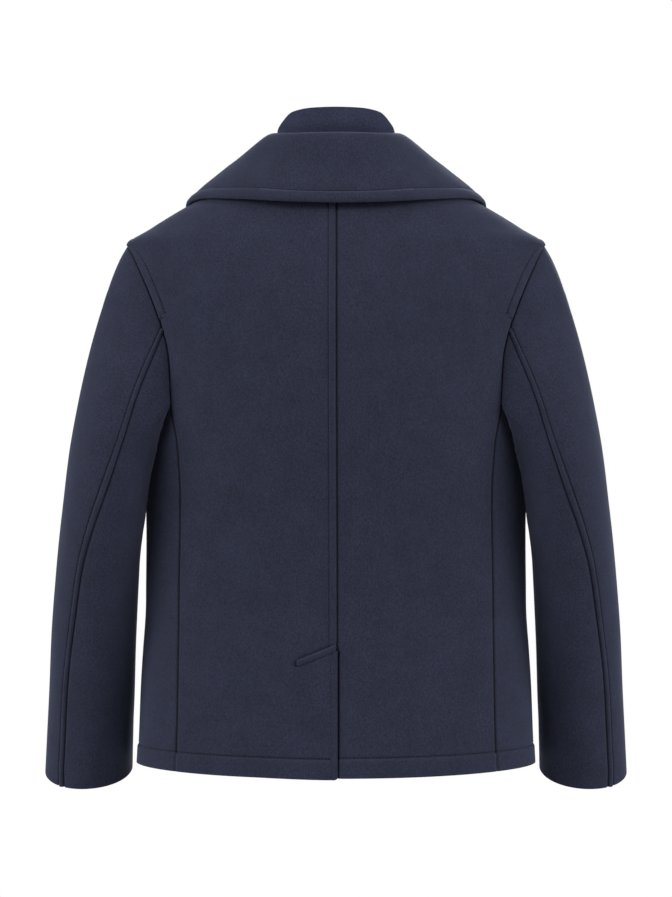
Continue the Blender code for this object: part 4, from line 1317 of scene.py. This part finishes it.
def sleeve_fold_rise(along, turns):
    """How far the soft folds move points of one section in or out."""
    total = np.zeros(len(turns))
    scale = np.array([SLEEVE_LENGTH, math.radians(1) * SLEEVE_RADIUS])
    for at, turn, to_at, to_turn, width, rise in SLEEVE_FOLDS.rows:
        start = np.array([at, turn]) * scale
        way = np.array([to_at, to_turn]) * scale - start
        apart = (turns - turn + 180) % 360 - 180 + turn
        flat = np.stack([np.full(len(turns), along), apart], axis=-1) * scale - start
        share, off = beside(flat, way)
        total += rise * (0.3 + 0.7 * np.sin(math.pi * share) ** 0.8) * np.exp(-((off / width) ** 2))
    angle = np.radians(turns)
    slow = np.sin(21 * along + 2 * np.sin(angle)) * np.sin(3 * angle + 9 * along)
    return (total + 0.0003 * slow) * float(fade(0.01, 0.07, along))


def sleeve_grid(part):
    """The right sleeve's top or under piece, between its two seams, and how deep its points lie in them."""
    loop = armhole_loop()
    length = along_line(loop)
    loop_turns = length / length[-1] * 360
    down_back = loop_turns[1 : 1 + len(ARMHOLE_ROWS)]
    back_start = float(np.interp(-BACK_SEAM_HEIGHT, [-z for z in ARMHOLE_ROWS], down_back))
    top = part == "top"
    ending = NEAR_SEAM[::-1]
    if top:
        ending = [SLEEVE_STRIP - off for off in NEAR_STITCH[:5]] + ending
    columns = (NEAR_SEAM, 70 if top else 32, ending)
    rows = []
    reliefs = []
    for along in finer([0.0, 1.0], 0.0072, (0.0013, 0.0028, 0.0045, 0.0100, 0.9955, 0.9985)):
        back = seam_turn(along, loop_turns, loop) if along else back_start
        turns = np.linspace(FRONT_SEAM - 360, back, 260) if top else np.linspace(back, FRONT_SEAM, 260)
        whole = along_line(sleeve_points(along, turns, loop_turns, loop))
        places = places_of(columns, whole[-1])
        turns = np.interp(places, whole, turns)
        row = tucked(sleeve_points(along, turns, loop_turns, loop), SEAM_LAP)
        down = sleeve_frame(along)[3]
        away = unit(np.cross(unit(np.gradient(row, axis=0)), down))
        off_end = whole[-1] - places
        rise = seam(places) + seam(off_end)
        if top:
            rise += strip(off_end, SLEEVE_STRIP)
        off_armhole = along * SLEEVE_LENGTH
        reliefs.append(rise + seam(off_armhole))
        # The sleeve's head is a little fuller over the shoulder, just below the armhole seam.
        head = fade(95, 20, np.abs(turns)) * math.exp(-(((off_armhole - 0.010) / 0.007) ** 2))
        rise = rise + sleeve_fold_rise(along, turns) + 0.0012 * head
        with_body = seam(off_armhole) + fold_rise(row) * (1 - fade(0.0, 0.012, off_armhole))
        tuck = SEAM_LAP if along == 0.0 else 0.0
        rows.append(row + away * rise[:, None] + body_distance(row)[1] * with_body[:, None] - down * tuck)
    return np.array(rows), np.array(reliefs)


def make_sleeves():
    made = {}
    for part in ("top", "under"):
        grid, relief = sleeve_grid(part)
        seam_line = column_line(grid, -outward(grid), -len(NEAR_SEAM) - 2, 3, -1)
        for side, word in SIDES:
            name = f"sleeve_{part}_{word}"
            piece = cloth(name, mirrored(grid, side), WOOL_SLEEVES, relief, flip=side > 0)
            made[name] = (piece, [stitches(name, [seam_line], side)] if part == "top" else [])
    return made


# ---- small pieces


def panel_patch(corners, rise, steps, overlies, front=True):
    """A grid over a four-cornered patch, this far off a panel. Corners are (across, height)."""
    a, b, c, d = (np.array(corner) for corner in corners)
    u = np.linspace(0, 1, steps[0] + 1)[:, None]
    rows = []
    for v in np.linspace(0, 1, steps[1] + 1):
        start = a + (d - a) * v
        across, height = (start + (b + (c - b) * v - start) * u).T
        point = ring(turn_at(across, height, front=front), height)
        lap = lap_rise(across, height) if overlies else 0.0
        rows.append(lifted(point, rise + lap + fold_rise(point)))
    return np.array(rows)


def make_welts():
    made = {}
    low = WELT_TOP - WELT_LENGTH
    low_across = WELT_ACROSS - WELT_SLANT
    corners = (
        (WELT_ACROSS, WELT_TOP),
        (WELT_ACROSS - WELT_WIDTH, WELT_TOP),
        (low_across - WELT_WIDTH, low),
        (low_across, low),
    )
    for side, word in SIDES:
        name = f"pocket_welt_{word}"
        grid = panel_patch(corners, PATCH_GAP, (14, 60), overlies=side < 0)
        normals = outward(grid)
        u = np.linspace(0, 1, 15)[None, :] * WELT_WIDTH
        v = np.linspace(0, 1, 61)[:, None] * WELT_LENGTH
        inset = np.minimum(np.minimum(u, WELT_WIDTH - u), np.minimum(v, WELT_LENGTH - v))
        rise = 0.0005 * fade(0.0, 0.004, inset) + stitched(inset - 0.006) * 0.7
        grid = grid + normals * rise[..., None]
        flat = mirrored(grid, side)
        piece = cloth(name, flat, WOOL_BODY, rise, offset=1.0, thickness=WELT_THICK, flip=side < 0)
        outer = grid + normals * WELT_THICK
        rows = [column_line(outer, normals, column, 2, 59) for column in (3, 11)]
        rows += [row_line(outer, normals, row, 3, 12) for row in (2, 58)]
        made[name] = (piece, [stitches(name, rows, side)])
    return made


def make_vent_bar():
    grid = panel_patch(BAR_CORNERS, STRIP_RISE * 0.4 + SEAM_GAP, (48, 16), overlies=False, front=False)
    normals = outward(grid, flip=True)
    v = np.abs(np.linspace(-1, 1, 17))[:, None]
    u = np.linspace(0, 1, 49)[None, :]
    puff = BAR_PUFF * (1 - v**3.4) * fade(-0.02, 0.02, u) - BAR_TUCK
    # Painted shade along the bar's two long edges: it darkens the colour only and does not move the cloth.
    relief = -0.6 * STITCH_SINK * fade(0.90, 1.0, v) + 0 * u
    grid = grid + normals * puff[..., None]
    flat = mirrored(grid, -1)
    piece = cloth("vent_bar", flat, WOOL_BODY, relief, offset=1.0, thickness=BAR_THICK, round_edge=0.0004)
    outer = grid + normals * BAR_THICK
    rows = [row_line(outer, normals, row, 1, 48) for row in (1, 15)]
    rows.append(column_line(outer, normals, 1, 1, 16))
    return {"vent_bar": (piece, [stitches("vent_bar", rows, -1)])}


def make_buttonholes():
    """Closely worked bars either side of each buttonhole near the left front's edge."""
    across = np.linspace(-BUTTON_ACROSS - 0.003, -BUTTON_ACROSS + 0.024, 20)
    rows = []
    for height in BUTTON_HEIGHTS:
        for off in (-0.0011, 0.0011):
            level = np.full(len(across), height + off)
            points = chest_point(across, level, lap_rise(across, level))
            rows.append((mirrored(points, -1), mirrored(body_distance(points)[1], -1)))
    return thread_piece("buttonholes", rows, length=0.0009, space=0.00015, radius=0.00045)


def turned(name, profile, steps, finish):
    """A solid turned round its Z axis from a profile of (radius, height)."""
    mesh = bmesh.new()
    rings = []
    for radius, height in profile:
        turns = [2 * math.pi * k / steps for k in range(steps if radius else 1)]
        rings.append([mesh.verts.new((radius * math.cos(a), radius * math.sin(a), height)) for a in turns])
    for low, high in zip(rings[:-1], rings[1:]):
        for k in range(steps):
            a, b = low[k % len(low)], low[(k + 1) % len(low)]
            c, d = high[(k + 1) % len(high)], high[k % len(high)]
            mesh.faces.new(list(dict.fromkeys((a, b, c, d))))
    bmesh.ops.recalc_face_normals(mesh, faces=mesh.faces)
    return object_of(name, mesh, finish)


def tube(mesh, points, radius):
    """A round thread along a few points."""
    points = np.array(points)
    way = unit(np.gradient(points, axis=0))
    side = unit(np.cross(way, np.array([0.3, 0.2, 0.93])))
    skin(mesh, [circle(mesh, p, s, u, radius, 8) for p, s, u in zip(points, side, np.cross(way, side))])


HOLE_OFF = 0.0022
HOLE_RADIUS = 0.0009
BUTTON_THREAD = 0.00032
BUTTON_PROFILE = [
    (0, 0.0002),
    (0.0105, 0.0001),
    (0.0128, 0.0005),
    (0.0142, 0.0012),
    (0.0149, 0.0021),
    (0.0150, 0.0027),
    (0.0147, 0.0035),
    (0.0140, 0.0040),
    (0.0131, 0.0041),
    (0.0122, 0.0039),
    (0.0114, 0.0034),
    (0.0104, 0.0030),
    (0.0080, 0.0028),
    (0.0055, 0.0027),
    (0, 0.0027),
]


def button_disc(name):
    """A turned button with a raised rim and four holes."""
    disc = turned(name, BUTTON_PROFILE, 64, RESIN)
    pins = bmesh.new()
    for u in (-HOLE_OFF, HOLE_OFF):
        for v in (-HOLE_OFF, HOLE_OFF):
            size = {"radius1": HOLE_RADIUS, "radius2": HOLE_RADIUS, "depth": 0.012}
            pin = bmesh.ops.create_cone(pins, cap_ends=True, segments=20, **size)
            bmesh.ops.translate(pins, verts=pin["verts"], vec=(u, v, 0.002))
    cutter = object_of(f"{name}_pins", pins, smooth=False)
    holes = disc.modifiers.new("Holes", "BOOLEAN")
    holes.operation = "DIFFERENCE"
    holes.solver = "EXACT"
    holes.object = cutter
    bpy.context.view_layer.update()
    solid = bpy.data.meshes.new_from_object(disc.evaluated_get(bpy.context.evaluated_depsgraph_get()))
    disc.modifiers.clear()
    disc.data = solid
    solid.set_sharp_from_angle(angle=math.radians(50))
    bpy.data.objects.remove(cutter)
    return disc


def button_thread(name):
    """Two pairs of threads that cross between the four holes."""
    mesh = bmesh.new()
    h = HOLE_OFF
    for a, b, lift in (((-h, -h), (h, h), 0.0010), ((-h, h), (h, -h), 0.0005)):
        for shift in (-BUTTON_THREAD, BUTTON_THREAD):
            over = [
                (a[0], a[1] + shift, -0.0012),
                (a[0], a[1] + shift, 0.0024),
                (a[0] * 0.8, a[1] * 0.8 + shift, 0.0030),
                (0, shift, 0.0030 + lift * 0.5),
                (b[0] * 0.8, b[1] * 0.8 + shift, 0.0030),
                (b[0], b[1] + shift, 0.0024),
                (b[0], b[1] + shift, -0.0012),
            ]
            tube(mesh, over, BUTTON_THREAD)
    return object_of(name, mesh, THREAD)


def make_buttons():
    for row, height in enumerate(BUTTON_HEIGHTS, start=1):
        for side, across in (("left", BUTTON_ACROSS), ("right", -BUTTON_ACROSS)):
            node = f"button_{row}_{side}"
            base = ring(turn_at(across, height, front=True), height)
            point = lifted(base, float(lap_rise(across, height)) + BUTTON_STAND)
            away = Vector(mirrored(body_distance(base)[1], -1))
            turn = Vector((0, 0, 1)).rotation_difference(away).to_matrix().to_4x4()
            disc = button_disc(f"{node}_disc")
            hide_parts(node)
            for made in (disc, button_thread(f"{node}_thread")):
                made.matrix_world = Matrix.Translation(Vector(mirrored(point, -1))) @ turn
                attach(made, "root")


# ---- the whole coat


pieces = {}
MAKERS = (make_backs, make_fronts, make_lapels, make_collar, make_band, make_sleeves, make_welts)
for maker in MAKERS + (make_vent_bar,):
    pieces.update(maker())
make_buttons()
pieces["front_left"][1].append(make_buttonholes())


# ---- stage


COAT_MIDDLE = Vector((0, 0, -0.32))
FLOOR_RADIUS = 1.15
FLOOR_HEIGHT = -1.05
WORLD_DIM = 0.04
# Where the world turns from dim to white, from its back at 0 to its front at 1.
WORLD_TURN = (0.75, 0.93)
CAMERA_PLACE = (0.0, -3.1, -0.325)
LENS = 108.2
SENSOR_WIDTH = 36.0


def area_light(name, place, size, power):
    """A soft rectangular light that faces the middle of the coat."""
    data = bpy.data.lights.new(name, "AREA")
    data.shape = "RECTANGLE"
    data.size, data.size_y = size
    data.energy = power
    light = bpy.data.objects.new(name, data)
    bpy.context.scene.collection.objects.link(light)
    light.location = place
    light.rotation_euler = (COAT_MIDDLE - Vector(place)).to_track_quat("-Z", "Y").to_euler()


def make_floor():
    """A round pale floor below the coat."""
    mesh = bmesh.new()
    bmesh.ops.create_circle(mesh, cap_ends=True, segments=96, radius=FLOOR_RADIUS)
    bmesh.ops.translate(mesh, verts=mesh.verts, vec=(0, 0, FLOOR_HEIGHT))
    n = Nodes("floor_pale", Base_Color=(0.55, 0.55, 0.55, 1.0), Roughness=0.9)
    object_of("floor", mesh, n.material, smooth=False)


def make_world():
    """White behind the front of the coat, and a dim studio all round."""
    world = bpy.data.worlds.new("studio")
    world.use_nodes = True
    tree = world.node_tree
    background = tree.nodes["Background"]
    background.inputs["Color"].default_value = (1.0, 1.0, 1.0, 1.0)
    way = tree.nodes.new("ShaderNodeTexCoord")
    split = tree.nodes.new("ShaderNodeSeparateXYZ")
    spread = tree.nodes.new("ShaderNodeMapRange")
    for key, number in zip(("From Min", "From Max", "To Min", "To Max"), (*WORLD_TURN, WORLD_DIM, 1.0)):
        spread.inputs[key].default_value = number
    tree.links.new(way.outputs["Generated"], split.inputs[0])
    tree.links.new(split.outputs["Y"], spread.inputs["Value"])
    tree.links.new(spread.outputs["Result"], background.inputs["Strength"])
    bpy.context.scene.world = world


def make_stage():
    make_floor()
    make_world()
    bpy.context.scene.view_settings.view_transform = "Standard"
    area_light("soft_top", (0.0, -0.5, 2.1), (2.4, 1.4), 14)
    for side, name in ((-1, "left"), (1, "right")):
        area_light(f"soft_key_{name}", (2.2 * side, -2.8, 1.6), (1.4, 1.4), 43)
        area_light(f"soft_fill_{name}", (2.8 * side, -1.6, 0.5), (1.0, 2.0), 44)
        area_light(f"soft_edge_{name}", (2.6 * side, -0.7, 0.4), (0.8, 2.2), 33)
    area_light("soft_front", (0.5, 2.8, 0.9), (2.2, 1.6), 60)
    camera_data = bpy.data.cameras.new("camera")
    camera_data.lens = LENS
    camera_data.sensor_width = SENSOR_WIDTH
    camera = bpy.data.objects.new("camera", camera_data)
    bpy.context.scene.collection.objects.link(camera)
    camera.location = CAMERA_PLACE
    camera.rotation_euler = (math.radians(90), 0.0, 0.0)
    bpy.context.scene.camera = camera


make_stage()
